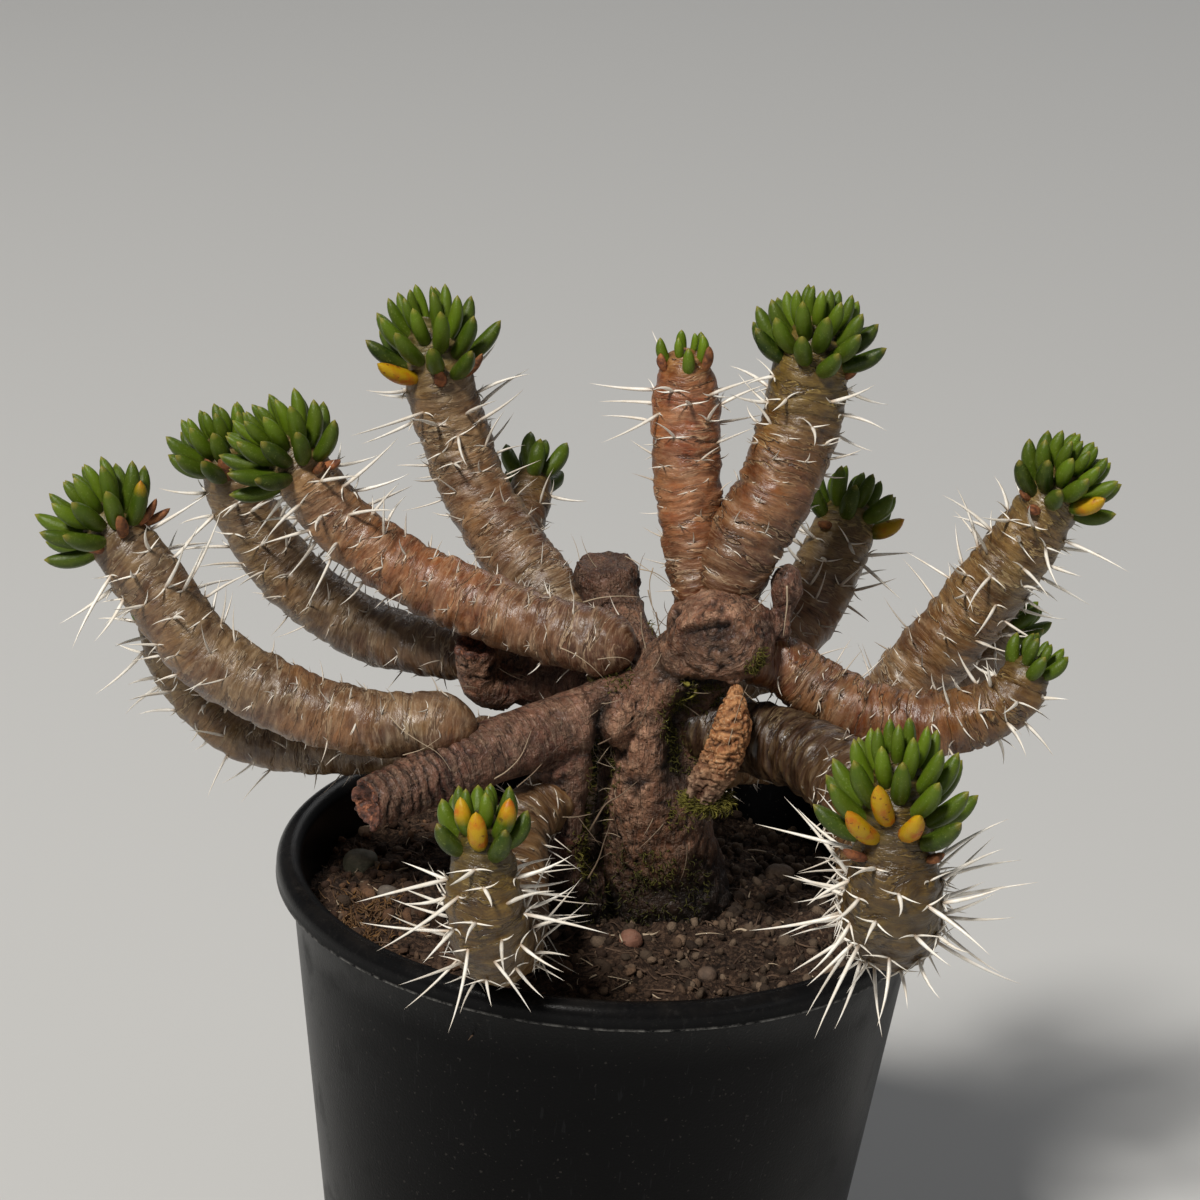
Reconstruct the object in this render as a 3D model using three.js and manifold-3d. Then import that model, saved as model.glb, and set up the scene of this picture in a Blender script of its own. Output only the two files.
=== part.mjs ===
// Potted Maihuenia poeppigii: a cushion cactus with a woody trunk, thick finger-like stems, tufts of
// plump green leaves at the stem tips and white spines, in a round black nursery pot full of grit.
// Millimetres, +Z up. The origin is the centre of the pot's underside, and the front faces -Y.
import * as THREE from "three";
import { mergeVertices } from "three/addons/utils/BufferGeometryUtils.js";
import Module from "manifold-3d";

const wasm = await Module();
wasm.setup();

// Driving dimensions
const SEAT_GAP = 0.3; // air between two pieces that lie against each other
const GOLDEN_ANGLE = Math.PI * (3 - Math.sqrt(5));
const UP = new THREE.Vector3(0, 1, 0);

const POT = {
  height: 105,
  rimRadius: 60,
  rimWidth: 4.8,
  rimDepth: 4.5,
  rimRise: 2.5, // height of the rolled top above the rim's straight side
  wallTopRadius: 57.2,
  baseRadius: 45,
  footBevel: 1.5,
  wall: 1.6,
  floor: 2,
  drainHoles: 8,
  drainRadius: 4,
  drainCircle: 33,
  sides: 36,
};

const SOIL = { edge: 93.5, mound: 3, rings: 6, sides: 36, slack: 0.45 };
const SOIL_WAVES = [{ alongX: 0.34, alongY: 0.29, high: 0.9 }, { alongX: 0.71, alongY: 0.63, high: 0.5 }];
const GRIT = { count: 12, size: 3, smallest: 0.55, shape: [1, 0.85, 0.75], fromWall: 4, fromPebble: 7 };
const PEBBLE_RISE = 0.25; // how far a pebble's centre lies above the soil, as a share of its height

const LEAF = {
  radius: 1.6, // where the leaf is plumpest
  sides: 4,
  root: 0.8, // length sunk into the growing tip
  widest: [0.3, 0.7], // the stretch of the leaf over which it keeps its thickness
  seat: 0.85, // where it is rooted, as a share of the growing tip's radius
  innermost: 0.62, // size of the innermost leaf against the lowest
  innerLean: 0.06,
  leanDraw: 0.16,
  lengthDraw: [0.92, 1.05],
  fullLength: 7.5, // shorter leaves are thinner too
  gap: 0.4,
};
// Outline of a growing tip: [share of its height, share of the stem's radius]
const CROWN = [[0, 1], [0.4, 0.82], [0.8, 0.5], [1, 0]];
const CROWN_SIDES = 9;

const SPINE = {
  radius: 0.4,
  sides: 3,
  root: 1.2,
  leans: [0.5, 0.2, -0.1], // towards the tip; the first that is clear of the neighbours is taken
  from: 0.1,
  to: 0.97,
  lengthDraw: [0.75, 1.1],
  gap: 0.5,
};

// Every limb is a row of stations along its centreline: [x, y, z, radius].
const TRUNK_LIMBS = {
  column: {
    path: [
      [11, 5, 78, 12], [10.8, 3, 95.5, 12.4], [8.6, -1, 109, 11], [6.9, -4, 122, 9.8],
      [6, -5, 134, 8.4], [5.4, -5, 145, 6.4],
    ],
  },
  leftBranch: {
    path: [
      [4, -4, 139, 7], [-1, -9, 137.4, 6.4], [-7.2, -11, 135.4, 5.9], [-16.6, -16, 133, 5.8],
      [-26.6, -22, 130.4, 5.6], [-36.4, -28, 127.6, 5], [-42, -32, 126.3, 4.6],
    ],
  },
  sideRoot: {
    path: [
      [-6, -9, 137, 5.2], [-8.7, -11, 131, 5.6], [-8.6, -12, 120.7, 5], [-7.3, -11, 110.6, 4.9],
      [-5.3, -8, 101.5, 5.6], [-3, -4, 86, 7],
    ],
  },
  backBranch: { path: [[5, 0, 137, 7], [-6, 6, 137, 6.2], [-16, 9, 136, 5.6], [-25, 12, 136, 5]] },
  knobNeck: { path: [[6, -4, 136, 7.5], [11, -6, 144, 7.8], [17.2, -7, 150, 7]] },
  topNeck: { path: [[4, -3, 139, 7], [0, 5, 147, 5.2], [-3, 11, 153, 4.6]] },
  deadPeg: { path: [[-20, 8, 133, 4.2], [-24.6, 5, 136, 4.2], [-25.8, 1.5, 144.4, 3.9]] },
  nub: { path: [[-15, 7, 137, 2], [-15.4, 4.5, 142.8, 1.7]], sides: 6, roundTip: true },
  bud: {
    path: [[24, -6, 151.5, 2.8], [28, -5, 156.5, 3.2], [28.3, -4, 163, 2.6]],
    sides: 8, roundTip: true,
  },
};
const KNOB_FACES = [11, 7];
const KNOBS = [
  { centre: [17.2, -8, 152.2], radii: [9.7, 9.2, 8.8] },
  { centre: [-3.4, 12, 154], radii: [6.2, 6, 5.9] },
];

// tuft: how many leaves, their length, the height of the growing tip, and the lowest leaf's lean in radians
// spines: [how many, length near the base, length near the tip]
const STEMS = [
  {
    name: "stem_far_left",
    path: [
      [-24, -20, 137.2, 4.8], [-30.4, -20, 137, 5.6], [-43.5, -20, 136.6, 5.7], [-59.3, -19, 140, 6],
      [-72.8, -17, 147, 6.1], [-81.9, -15, 158.1, 5.9], [-87.4, -14, 164.4, 5.3],
    ],
    roundBase: true, tuft: { count: 22, length: 10, height: 9, lean: 1.3 }, spines: [17, 7, 14],
  },
  {
    name: "stem_far_left_low",
    path: [
      [-8, -4, 129, 4.6], [-24, 0, 125.6, 4.6], [-40, 1, 123, 4.6], [-54.9, 2, 121.5, 4.7],
      [-67, 3.5, 122.6, 4.7], [-75.6, 5, 128.6, 4.7], [-81, 6, 136.4, 4.6], [-83.2, 7, 142, 4.1],
    ],
    tuft: { count: 7, length: 5.5, height: 3.5, lean: 0.6 }, spines: [16, 7, 11],
  },
  {
    name: "stem_left_back",
    path: [
      [-20, 11, 137.6, 4.6], [-35, 18, 136.4, 5.2], [-49, 24, 137.6, 5.7], [-61.4, 27, 144.8, 5.9],
      [-69.5, 28, 155, 5.8], [-73.3, 28, 163.6, 5.4],
    ],
    tuft: { count: 19, length: 9.2, height: 9, lean: 1.05 }, spines: [14, 7, 12],
  },
  {
    name: "stem_left_middle",
    path: [
      [2.5, -8, 148.6, 5], [-3.8, -6, 148.7, 5.8], [-13.6, -3, 149.7, 5.8], [-27.3, 1, 152.4, 5.8],
      [-40.2, 4, 156.8, 5.7], [-50.8, 6, 163.4, 5.6], [-58, 6, 172, 5.4],
    ],
    roundBase: true, tuft: { count: 25, length: 10, height: 10.5, lean: 1.3 }, spines: [15, 6, 13],
  },
  {
    name: "stem_upper_left",
    path: [
      [-6, 8, 142, 5.6], [-12.8, 14, 148.8, 6], [-20.8, 20, 155.8, 6.4], [-28.3, 25, 165.2, 6.2],
      [-33.2, 28, 175.4, 6.3], [-36, 28, 184.5, 6.1],
    ],
    tuft: { count: 22, length: 10.8, height: 12.5, lean: 1.2 }, spines: [13, 6, 15],
  },
  {
    name: "stem_small_back",
    path: [[-24, 25, 157.5, 3.8], [-20.4, 30.5, 156, 4.1], [-19.4, 36, 157.6, 4], [-18.6, 40.5, 161.5, 3.7]],
    tuft: { count: 9, length: 7.6, height: 5.5, lean: 0.85 }, spines: [6, 6, 9],
  },
  {
    name: "stem_upright_thin",
    path: [
      [14, -2, 155, 4.6], [11.6, 0, 166, 5.4], [9.4, 2, 179, 5.9], [8.4, 4, 191, 5.7], [8, 4, 196.4, 4.6],
    ],
    tuft: { count: 6, length: 5, height: 4.2, lean: 0.4 }, spines: [12, 6, 13],
  },
  {
    name: "stem_upright_thick",
    path: [
      [17.2, -1.5, 156, 5.8], [19.6, -2.5, 166.5, 6.6], [24.8, 0, 176.6, 6.7],
      [28.4, 3, 187.5, 6.9], [29.4, 4, 197.3, 6.7],
    ],
    tuft: { count: 26, length: 9.2, height: 11, lean: 1.25 }, spines: [15, 6, 11],
  },
  {
    name: "stem_right_behind",
    path: [
      [13, 3, 139, 5.4], [25, 13, 139.6, 5.6], [32.4, 22, 143.8, 5.8], [36.8, 28, 151.2, 6.1],
      [39.8, 32, 159.2, 5.9],
    ],
    tuft: { count: 15, length: 8, height: 8, lean: 1.1 }, spines: [11, 6, 12],
  },
  {
    name: "stem_far_right",
    path: [
      [12, -2, 126, 5.8], [30, 7, 126, 6], [48.4, 13, 131.6, 6.6], [54.1, 13, 138.7, 6.9],
      [61.8, 11, 151.7, 6.5], [69.4, 9, 165.4, 6.1], [74, 8, 174.8, 5.4],
    ],
    tuft: { count: 23, length: 8.6, height: 9.5, lean: 1.2 }, spines: [15, 8, 14],
  },
  {
    name: "stem_far_right_low",
    path: [[45, 14, 130, 4.6], [58.4, 24, 133, 4.8], [66, 27, 137.4, 4.7], [71, 28, 143.6, 4.1]],
    tuft: { count: 8, length: 6.6, height: 4.5, lean: 0.8 }, spines: [7, 7, 10],
  },
  {
    name: "stem_right_front",
    path: [
      [23, -4, 146.6, 4.4], [28.4, -3, 146, 5.1], [34.4, -4, 142.4, 5.5], [44, -7, 138.9, 5.8],
      [55.2, -9, 138.7, 5.8], [64.4, -9, 141.4, 5.4], [69.4, -8.6, 145, 4.8], [71, -8, 148.2, 4.2],
    ],
    tuft: { count: 9, length: 6, height: 4.5, lean: 0.7 }, spines: [12, 6, 10],
  },
  {
    name: "stem_front_right",
    path: [
      [12, -1, 132.6, 5.6], [24, -6.6, 133, 6.2], [33, -14, 133.6, 6.4], [40.6, -27, 134, 6.7],
      [44, -43, 132.8, 7], [45, -60, 130.6, 7.3], [45, -73, 130.8, 7.6], [44.4, -81, 136, 7.5],
      [43.7, -83.4, 142, 7], [43.5, -83, 146.6, 6.4],
    ],
    tuft: { count: 29, length: 10.2, height: 17, lean: 1.25 }, spines: [27, 8, 15],
  },
  {
    name: "stem_front_left",
    path: [
      [-9, -11, 122, 4.6], [-15.5, -20, 118.6, 5.2], [-16, -30, 114.6, 5.5], [-15.4, -42, 112, 5.9],
      [-16.4, -54, 112.8, 6.3], [-18, -62.4, 117.6, 6.4], [-19.6, -66.4, 125.6, 5.8],
      [-20.3, -65.4, 133.2, 5],
    ],
    tuft: { count: 14, length: 7.8, height: 8, lean: 0.9 }, spines: [22, 7, 14],
  },
];

const DRIED_BRANCHLET = [
  [20.4, -13.8, 145.5, 2.4], [20.2, -16.6, 141, 3.2], [19.6, -18, 136.5, 3.7], [18.4, -18, 130.5, 3.6],
  [17.2, -17.4, 125.2, 2.4],
];

const PEBBLES = [
  { name: "pebble_green", at: [-45.5, 11], radii: [3.4, 3, 2.6] },
  { name: "pebble_grey", at: [-39.5, -1], radii: [2.1, 2, 1.7] },
  { name: "pebble_pink", at: [5.2, -17.5], radii: [2.3, 2.1, 1.9] },
  { name: "pebble_tan", at: [33, 17], radii: [2.9, 2.5, 2] },
  { name: "pebble_brown", at: [19, -27], radii: [1.9, 1.7, 1.5] },
];

const COLOUR = {
  pot: 0x101112, soil: 0x3a2a20, bark: 0x5f4233, skin: 0x8a6e50, leaf: 0x3f7a22, dried: 0xa8663a,
  green: 0x5f604a, grey: 0x7d7770, pink: 0x9b5f4c, tan: 0x7b6650, brown: 0x6b4a3a,
};

const { lerp } = THREE.MathUtils;

// A repeatable number from 0 to 1 for item i and purpose k.
function draw(i, k) {
  const s = Math.sin(i * 12.9898 + k * 78.233) * 43758.5453;
  return s - Math.floor(s);
}

// Turns a shape that is built along +Y to run along direction, then puts its start at a point.
function place(geometry, direction, [x, y, z]) {
  return geometry
    .applyQuaternion(new THREE.Quaternion().setFromUnitVectors(UP, direction))
    .translate(x, y, z);
}

function lathe(profile, sides) {
  return new THREE.LatheGeometry(profile.map(([r, y]) => new THREE.Vector2(r, y)), sides);
}

// A copy with shared vertices merged and every face looking out.
function closed(geometry) {
  const copy = geometry.clone();
  copy.deleteAttribute("normal");
  copy.deleteAttribute("uv");
  const welded = mergeVertices(copy, 1e-3);
  const { index, attributes } = welded;
  const corners = [new THREE.Vector3(), new THREE.Vector3(), new THREE.Vector3()];
  let volume = 0;
  for (let i = 0; i < index.count; i += 3) {
    corners.forEach((corner, k) => corner.fromBufferAttribute(attributes.position, index.getX(i + k)));
    volume += corners[0].dot(corners[1].cross(corners[2]));
  }
  if (volume < 0) index.array.reverse();
  return welded;
}

function solid(geometry) {
  const { attributes, index } = closed(geometry);
  return new wasm.Manifold(new wasm.Mesh({
    numProp: 3,
    vertProperties: new Float32Array(attributes.position.array),
    triVerts: new Uint32Array(index.array),
  }));
}

// The solid with its whole surface moved out by the gap between two pieces.
function grown(geometry) {
  const shape = closed(geometry);
  shape.computeVertexNormals();
  const { position, normal } = shape.attributes;
  const point = new THREE.Vector3();
  const out = new THREE.Vector3();
  for (let i = 0; i < position.count; i++) {
    out.fromBufferAttribute(normal, i);
    point.fromBufferAttribute(position, i).addScaledVector(out, SEAT_GAP);
    position.setXYZ(i, point.x, point.y, point.z);
  }
  return solid(shape);
}

// A limb's centreline with its radius. u runs from 0 at the base to 1 at the tip.
class Centreline {
  constructor(path) {
    this.path = path;
    const points = path.map(([x, y, z]) => new THREE.Vector3(x, y, z));
    this.curve = new THREE.CatmullRomCurve3(points, false, "catmullrom", 0.5);
    this.length = this.curve.getLength();
    this.frameCount = 60;
    this.frames = this.curve.computeFrenetFrames(this.frameCount, false);
  }

  radius(u) {
    const along = this.curve.getUtoTmapping(u) * (this.path.length - 1);
    const i = Math.min(Math.floor(along), this.path.length - 2);
    return lerp(this.path[i][3], this.path[i + 1][3], along - i);
  }

  point(u) {
    return this.curve.getPointAt(u);
  }

  direction(u) {
    return this.curve.getTangentAt(u);
  }

  // An offset across the limb: a along its normal and b along its binormal.
  across(u, a, b) {
    const f = Math.round(u * this.frameCount);
    return this.frames.normals[f].clone().multiplyScalar(a).addScaledVector(this.frames.binormals[f], b);
  }
}

// A straight rod is lathed with its height running from 0 to 1, then bent on to the centreline.
function limb(line, { sides = 9, step = 9.5, roundBase = false, roundTip = false }) {
  const profile = [];
  const ring = (u, share = 1) => profile.push([line.radius(u) * share, u]);
  const baseCap = roundBase ? line.radius(0) / line.length : 0;
  const tipCap = roundTip ? line.radius(1) / line.length : 0;
  ring(0, 0);
  if (roundBase) {
    ring(baseCap * 0.16, 0.55);
    ring(baseCap * 0.5, 0.87);
  }
  const steps = Math.max(2, Math.round(((1 - baseCap - tipCap) * line.length) / step));
  for (let i = 0; i <= steps; i++) ring(lerp(baseCap, 1 - tipCap, i / steps));
  if (roundTip) {
    ring(1 - tipCap * 0.5, 0.87);
    ring(1 - tipCap * 0.16, 0.55);
  }
  ring(1, 0);
  const rod = lathe(profile, sides);
  const { position } = rod.attributes;
  for (let i = 0; i < position.count; i++) {
    const u = THREE.MathUtils.clamp(position.getY(i), 0, 1);
    const point = line.point(u).add(line.across(u, position.getX(i), position.getZ(i)));
    position.setXYZ(i, point.x, point.y, point.z);
  }
  return rod;
}

// Keeps the repeats of one piece off the other pieces, which it knows as capsules.
const clearance = {
  capsules: [],

  add(owner, from, to, radius) {
    this.capsules.push({ owner, line: new THREE.Line3(from.clone(), to.clone()), radius });
  },

  addLimb(owner, line, count = 14) {
    for (let i = 0; i < count; i++) {
      const [u, v] = [i / count, (i + 1) / count];
      this.add(owner, line.point(u), line.point(v), Math.max(line.radius(u), line.radius(v)));
    }
  },

  isClear(owners, from, to, reach) {
    const probes = Array.from({ length: 9 }, (_, i) => from.clone().lerp(to, i / 8));
    const near = new THREE.Vector3();
    return probes.every(clearOfPot) && this.capsules.every(({ owner, line, radius }) => {
      const distance = (probe) => line.closestPointToPoint(probe, true, near).distanceTo(probe);
      return owners.includes(owner) || probes.every((probe) => distance(probe) > radius + reach);
    });
  },
};

// Leaves and spines keep 1 mm off the rim and 2 mm off the soil.
function clearOfPot({ x, y, z }) {
  const away = Math.hypot(x, y);
  const overSoil = away < POT.rimRadius - POT.rimWidth - 1 && z > SOIL.edge + SOIL.mound + 2;
  return overSoil || away > POT.rimRadius + 1 || z > POT.height + 1;
}

// Pot: a lathed shell with a rolled rim and drain holes in its floor
function potShell() {
  const { height, rimRadius, rimWidth, rimDepth, rimRise, baseRadius, footBevel } = POT;
  const roll = Array.from({ length: 6 }, (_, i) => {
    const angle = (i / 5) * Math.PI;
    const across = (rimWidth / 2) * (1 - Math.cos(angle));
    return [rimRadius - across, height - rimRise + rimRise * Math.sin(angle)];
  });
  const profile = [
    [0, 0], [baseRadius - footBevel, 0], [baseRadius, footBevel], [POT.wallTopRadius, height - rimDepth],
    [rimRadius, height - rimDepth], ...roll, [baseRadius - POT.wall, POT.floor], [0, POT.floor],
  ];
  return lathe(profile, POT.sides).rotateX(Math.PI / 2);
}

function drainHole(i) {
  const angle = ((i + 0.5) / POT.drainHoles) * 2 * Math.PI;
  return new THREE.CylinderGeometry(POT.drainRadius, POT.drainRadius, 4 * POT.floor, 10)
    .rotateX(Math.PI / 2)
    .translate(POT.drainCircle * Math.cos(angle), POT.drainCircle * Math.sin(angle), POT.floor / 2);
}

// Soil: fills the pot to just under the rim, mounded at the trunk, with its grit standing out
function soilHeight(x, y) {
  const away = Math.hypot(x, y) / POT.wallTopRadius;
  const level = SOIL.edge + SOIL.mound * (1 - away * away);
  return SOIL_WAVES.reduce(
    (sum, { alongX, alongY, high }) => sum + high * Math.sin(x * alongX) * Math.cos(y * alongY), level,
  );
}

function soilRadius(z) {
  const share = (z - POT.floor) / (POT.height - POT.rimRise - POT.floor);
  return lerp(POT.baseRadius - POT.wall, POT.rimRadius - POT.rimWidth, share) - SOIL.slack;
}

function soilBody() {
  const bottom = POT.floor + SEAT_GAP;
  const edgeRadius = soilRadius(SOIL.edge);
  const profile = [[0, bottom], [soilRadius(bottom), bottom]];
  for (let i = 0; i < SOIL.rings; i++) profile.push([edgeRadius * (1 - i / SOIL.rings), SOIL.edge]);
  profile.push([0, SOIL.edge]);
  const body = lathe(profile, SOIL.sides).rotateX(Math.PI / 2);
  const { position } = body.attributes;
  for (let i = 0; i < position.count; i++) {
    const [x, y, z] = [position.getX(i), position.getY(i), position.getZ(i)];
    const onTop = z > bottom + 1 && Math.hypot(x, y) < edgeRadius - 1;
    if (onTop) position.setZ(i, soilHeight(x, y));
  }
  return body;
}

function stone([x, y, z], radii, turn, detail) {
  return new THREE.IcosahedronGeometry(1, detail).scale(...radii).rotateZ(turn).translate(x, y, z);
}

function gritStones() {
  const stones = [];
  for (let i = 0; i < GRIT.count; i++) {
    const away = (soilRadius(SOIL.edge) - GRIT.fromWall) * Math.sqrt((i + 0.5) / GRIT.count);
    const [x, y] = [away * Math.cos(i * GOLDEN_ANGLE), away * Math.sin(i * GOLDEN_ANGLE)];
    if (PEBBLES.some(({ at }) => Math.hypot(at[0] - x, at[1] - y) < GRIT.fromPebble)) continue;
    const size = GRIT.size * lerp(GRIT.smallest, 1, draw(i, 1));
    const radii = GRIT.shape.map((share) => share * size);
    stones.push(solid(stone([x, y, soilHeight(x, y)], radii, i, 0)));
  }
  return stones;
}

// Tuft: a green growing tip with plump leaves in a spiral, the innermost upright and the lowest spread
function growingTip(stem) {
  const { height } = stem.tuft;
  const profile = [[0, 0], ...CROWN.map(([up, out]) => [out * stem.tipRadius, up * height])];
  const axis = stem.line.direction(1);
  return place(lathe(profile, CROWN_SIDES), axis, stem.line.point(1).addScaledVector(axis, SEAT_GAP));
}

function crownRadius(stem, up) {
  const i = CROWN.findIndex(([top]) => top >= up);
  const [[low, wide], [high, narrow]] = [CROWN[i - 1], CROWN[i]];
  return stem.tipRadius * lerp(wide, narrow, (up - low) / (high - low));
}

function leafRow(stem) {
  const { count, length, height, lean: greatestLean } = stem.tuft;
  const turn = new THREE.Quaternion().setFromUnitVectors(UP, stem.line.direction(1));
  const tip = stem.line.point(1);
  return Array.from({ length: count }, (_, i) => {
    const down = (i + 0.4) / count; // 0 at the innermost leaf, 1 at the lowest
    const azimuth = i * GOLDEN_ANGLE + stem.number;
    const strayed = LEAF.leanDraw * (draw(i, stem.number) - 0.5);
    const lean = lerp(LEAF.innerLean, greatestLean, down ** 0.8) + strayed;
    const up = lerp(0.94, 0.12, down ** 0.9);
    const outwards = new THREE.Vector3(Math.cos(azimuth), 0, Math.sin(azimuth));
    const root = outwards.clone().multiplyScalar(crownRadius(stem, up) * LEAF.seat).setY(up * height);
    const direction = outwards.multiplyScalar(Math.sin(lean)).addScaledVector(UP, Math.cos(lean));
    const size = lerp(LEAF.innermost, 1, Math.min(1, down * 2));
    return {
      root: root.applyQuaternion(turn).add(tip),
      direction: direction.applyQuaternion(turn).normalize(),
      length: length * size * lerp(...LEAF.lengthDraw, draw(i, 3)),
      radius: LEAF.radius * size * Math.min(1, length / LEAF.fullLength),
    };
  });
}

function leaf({ root, direction, length, radius }) {
  const [low, high] = LEAF.widest;
  const profile = [[0, -LEAF.root], [radius, length * low], [radius * 0.92, length * high], [0, length]];
  return place(lathe(profile, LEAF.sides).rotateY(root.x), direction, root);
}

// Spines: one from each areole, the areoles in a spiral up the stem, longer towards the tip
function spineRow(stem) {
  const [count, lengthAtBase, lengthAtTip] = stem.spines;
  return Array.from({ length: count }, (_, i) => {
    const u = lerp(SPINE.from, SPINE.to, ((i + 0.5) / count) ** 0.85);
    const azimuth = i * GOLDEN_ANGLE + stem.number;
    const outwards = stem.line.across(u, Math.cos(azimuth), Math.sin(azimuth));
    const root = stem.line.point(u).addScaledVector(outwards, stem.line.radius(u));
    const length = lerp(lengthAtBase, lengthAtTip, u * u) * lerp(...SPINE.lengthDraw, draw(i, 7));
    const tries = SPINE.leans.map((lean) => {
      const direction = outwards.clone().addScaledVector(stem.line.direction(u), lean).normalize();
      return { root, direction, length };
    });
    const reach = SPINE.radius + SPINE.gap;
    return tries.find((tried) => clearance.isClear([stem.name], root, end(tried), reach));
  }).filter(Boolean);
}

function spine({ root, direction, length }) {
  const whole = length + SPINE.root;
  const cone = new THREE.ConeGeometry(SPINE.radius, whole, SPINE.sides);
  return place(cone.translate(0, whole / 2 - SPINE.root, 0), direction, root);
}

function end({ root, direction, length }) {
  return root.clone().addScaledVector(direction, length);
}

// The largest body of a solid as a named mesh
function mesh(name, made, color, roughness) {
  const [body] = made.decompose().sort((a, b) => b.volume() - a.volume());
  const { vertProperties, numProp, triVerts, numVert } = body.getMesh();
  const points = new Float32Array(numVert * 3);
  for (let i = 0; i < numVert; i++) points.set(vertProperties.subarray(i * numProp, i * numProp + 3), i * 3);
  const geometry = new THREE.BufferGeometry()
    .setAttribute("position", new THREE.BufferAttribute(points, 3))
    .setIndex(new THREE.BufferAttribute(triVerts, 1));
  const named = new THREE.Mesh(geometry, new THREE.MeshStandardMaterial({ color, roughness, metalness: 0 }));
  named.name = name;
  return named;
}

const { union } = wasm.Manifold;
const plant = new THREE.Group();

// Centrelines, and the room that they take up
STEMS.forEach((stem, number) => {
  stem.number = number;
  stem.line = new Centreline(stem.path);
  stem.tipRadius = stem.line.radius(1) * 0.96;
  stem.tuftName = stem.name.replace("stem", "tuft");
  const tip = stem.line.point(1);
  const crown = tip.clone().addScaledVector(stem.line.direction(1), stem.tuft.height * 0.7);
  clearance.addLimb(stem.name, stem.line);
  clearance.add(stem.tuftName, tip, crown, stem.tipRadius);
});
const trunkLimbs = Object.values(TRUNK_LIMBS);
trunkLimbs.forEach((branch) => {
  branch.line = new Centreline(branch.path);
  clearance.addLimb("woody_trunk", branch.line);
});
KNOBS.forEach(({ centre, radii }) => {
  const middle = new THREE.Vector3(...centre);
  clearance.add("woody_trunk", middle, middle, radii[0]);
});
const driedLine = new Centreline(DRIED_BRANCHLET);
clearance.addLimb("dried_branchlet", driedLine);

// Wood
const trunkShapes = trunkLimbs.map((branch) => limb(branch.line, branch));
for (const { centre, radii } of KNOBS) {
  trunkShapes.push(new THREE.SphereGeometry(1, ...KNOB_FACES).scale(...radii).translate(...centre));
}
const trunkGrown = union(trunkShapes.map(grown));
plant.add(mesh("woody_trunk", union(trunkShapes.map(solid)), COLOUR.bark, 0.85));

// Stems, each cut back from whatever it grows out of or rests on
const driedShape = limb(driedLine, { sides: 8, step: 4, roundTip: true });
const neighbours = [trunkGrown, grown(potShell())];
for (const stem of STEMS) {
  const shape = limb(stem.line, stem);
  stem.solid = solid(shape).subtract(union(neighbours));
  neighbours.push(grown(shape));
}
const limbsGrown = union(neighbours);
plant.add(mesh("dried_branchlet", solid(driedShape).subtract(limbsGrown), COLOUR.dried, 0.9));

// Tufts first, because the spines give way to the leaves
for (const stem of STEMS) {
  const owners = [stem.name, stem.tuftName];
  const reach = LEAF.radius + LEAF.gap;
  const leaves = leafRow(stem).filter((one) => clearance.isClear(owners, one.root, end(one), reach));
  leaves.forEach((one) => clearance.add(stem.tuftName, one.root, end(one), LEAF.radius));
  const tuft = union([solid(growingTip(stem)), ...leaves.map((one) => solid(leaf(one)))]);
  plant.add(mesh(stem.tuftName, tuft.subtract(limbsGrown), COLOUR.leaf, 0.45));
}
for (const stem of STEMS) {
  const spines = spineRow(stem);
  spines.forEach((one) => clearance.add(stem.name, one.root, end(one), SPINE.radius));
  const spined = union([stem.solid, ...spines.map((one) => solid(spine(one)))]);
  plant.add(mesh(stem.name, spined, COLOUR.skin, 0.6));
}

// Soil, the pebbles lying in it, and the pot around it
const pebbles = PEBBLES.map(({ name, at: [x, y], radii }, i) => {
  const shape = stone([x, y, soilHeight(x, y) + PEBBLE_RISE * radii[2]], radii, i, 1);
  plant.add(mesh(name, solid(shape), COLOUR[name.replace("pebble_", "")], 0.8));
  return grown(shape);
});
const soil = union([solid(soilBody()), ...gritStones()]).subtract(union([trunkGrown, ...pebbles]));
plant.add(mesh("soil", soil, COLOUR.soil, 0.95));
const drains = Array.from({ length: POT.drainHoles }, (_, i) => solid(drainHole(i)));
plant.add(mesh("pot", solid(potShell()).subtract(union(drains)), COLOUR.pot, 0.4));

export default plant;
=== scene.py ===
"""Looks of a potted Maihuenia poeppigii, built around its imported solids.

Shapes are worked out in millimetres and put into meshes in metres. The front faces -Y and +Z is up.
"""
import math
from dataclasses import dataclass, field

import bpy
import numpy as np
from mathutils import Matrix, Quaternion, Vector


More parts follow.
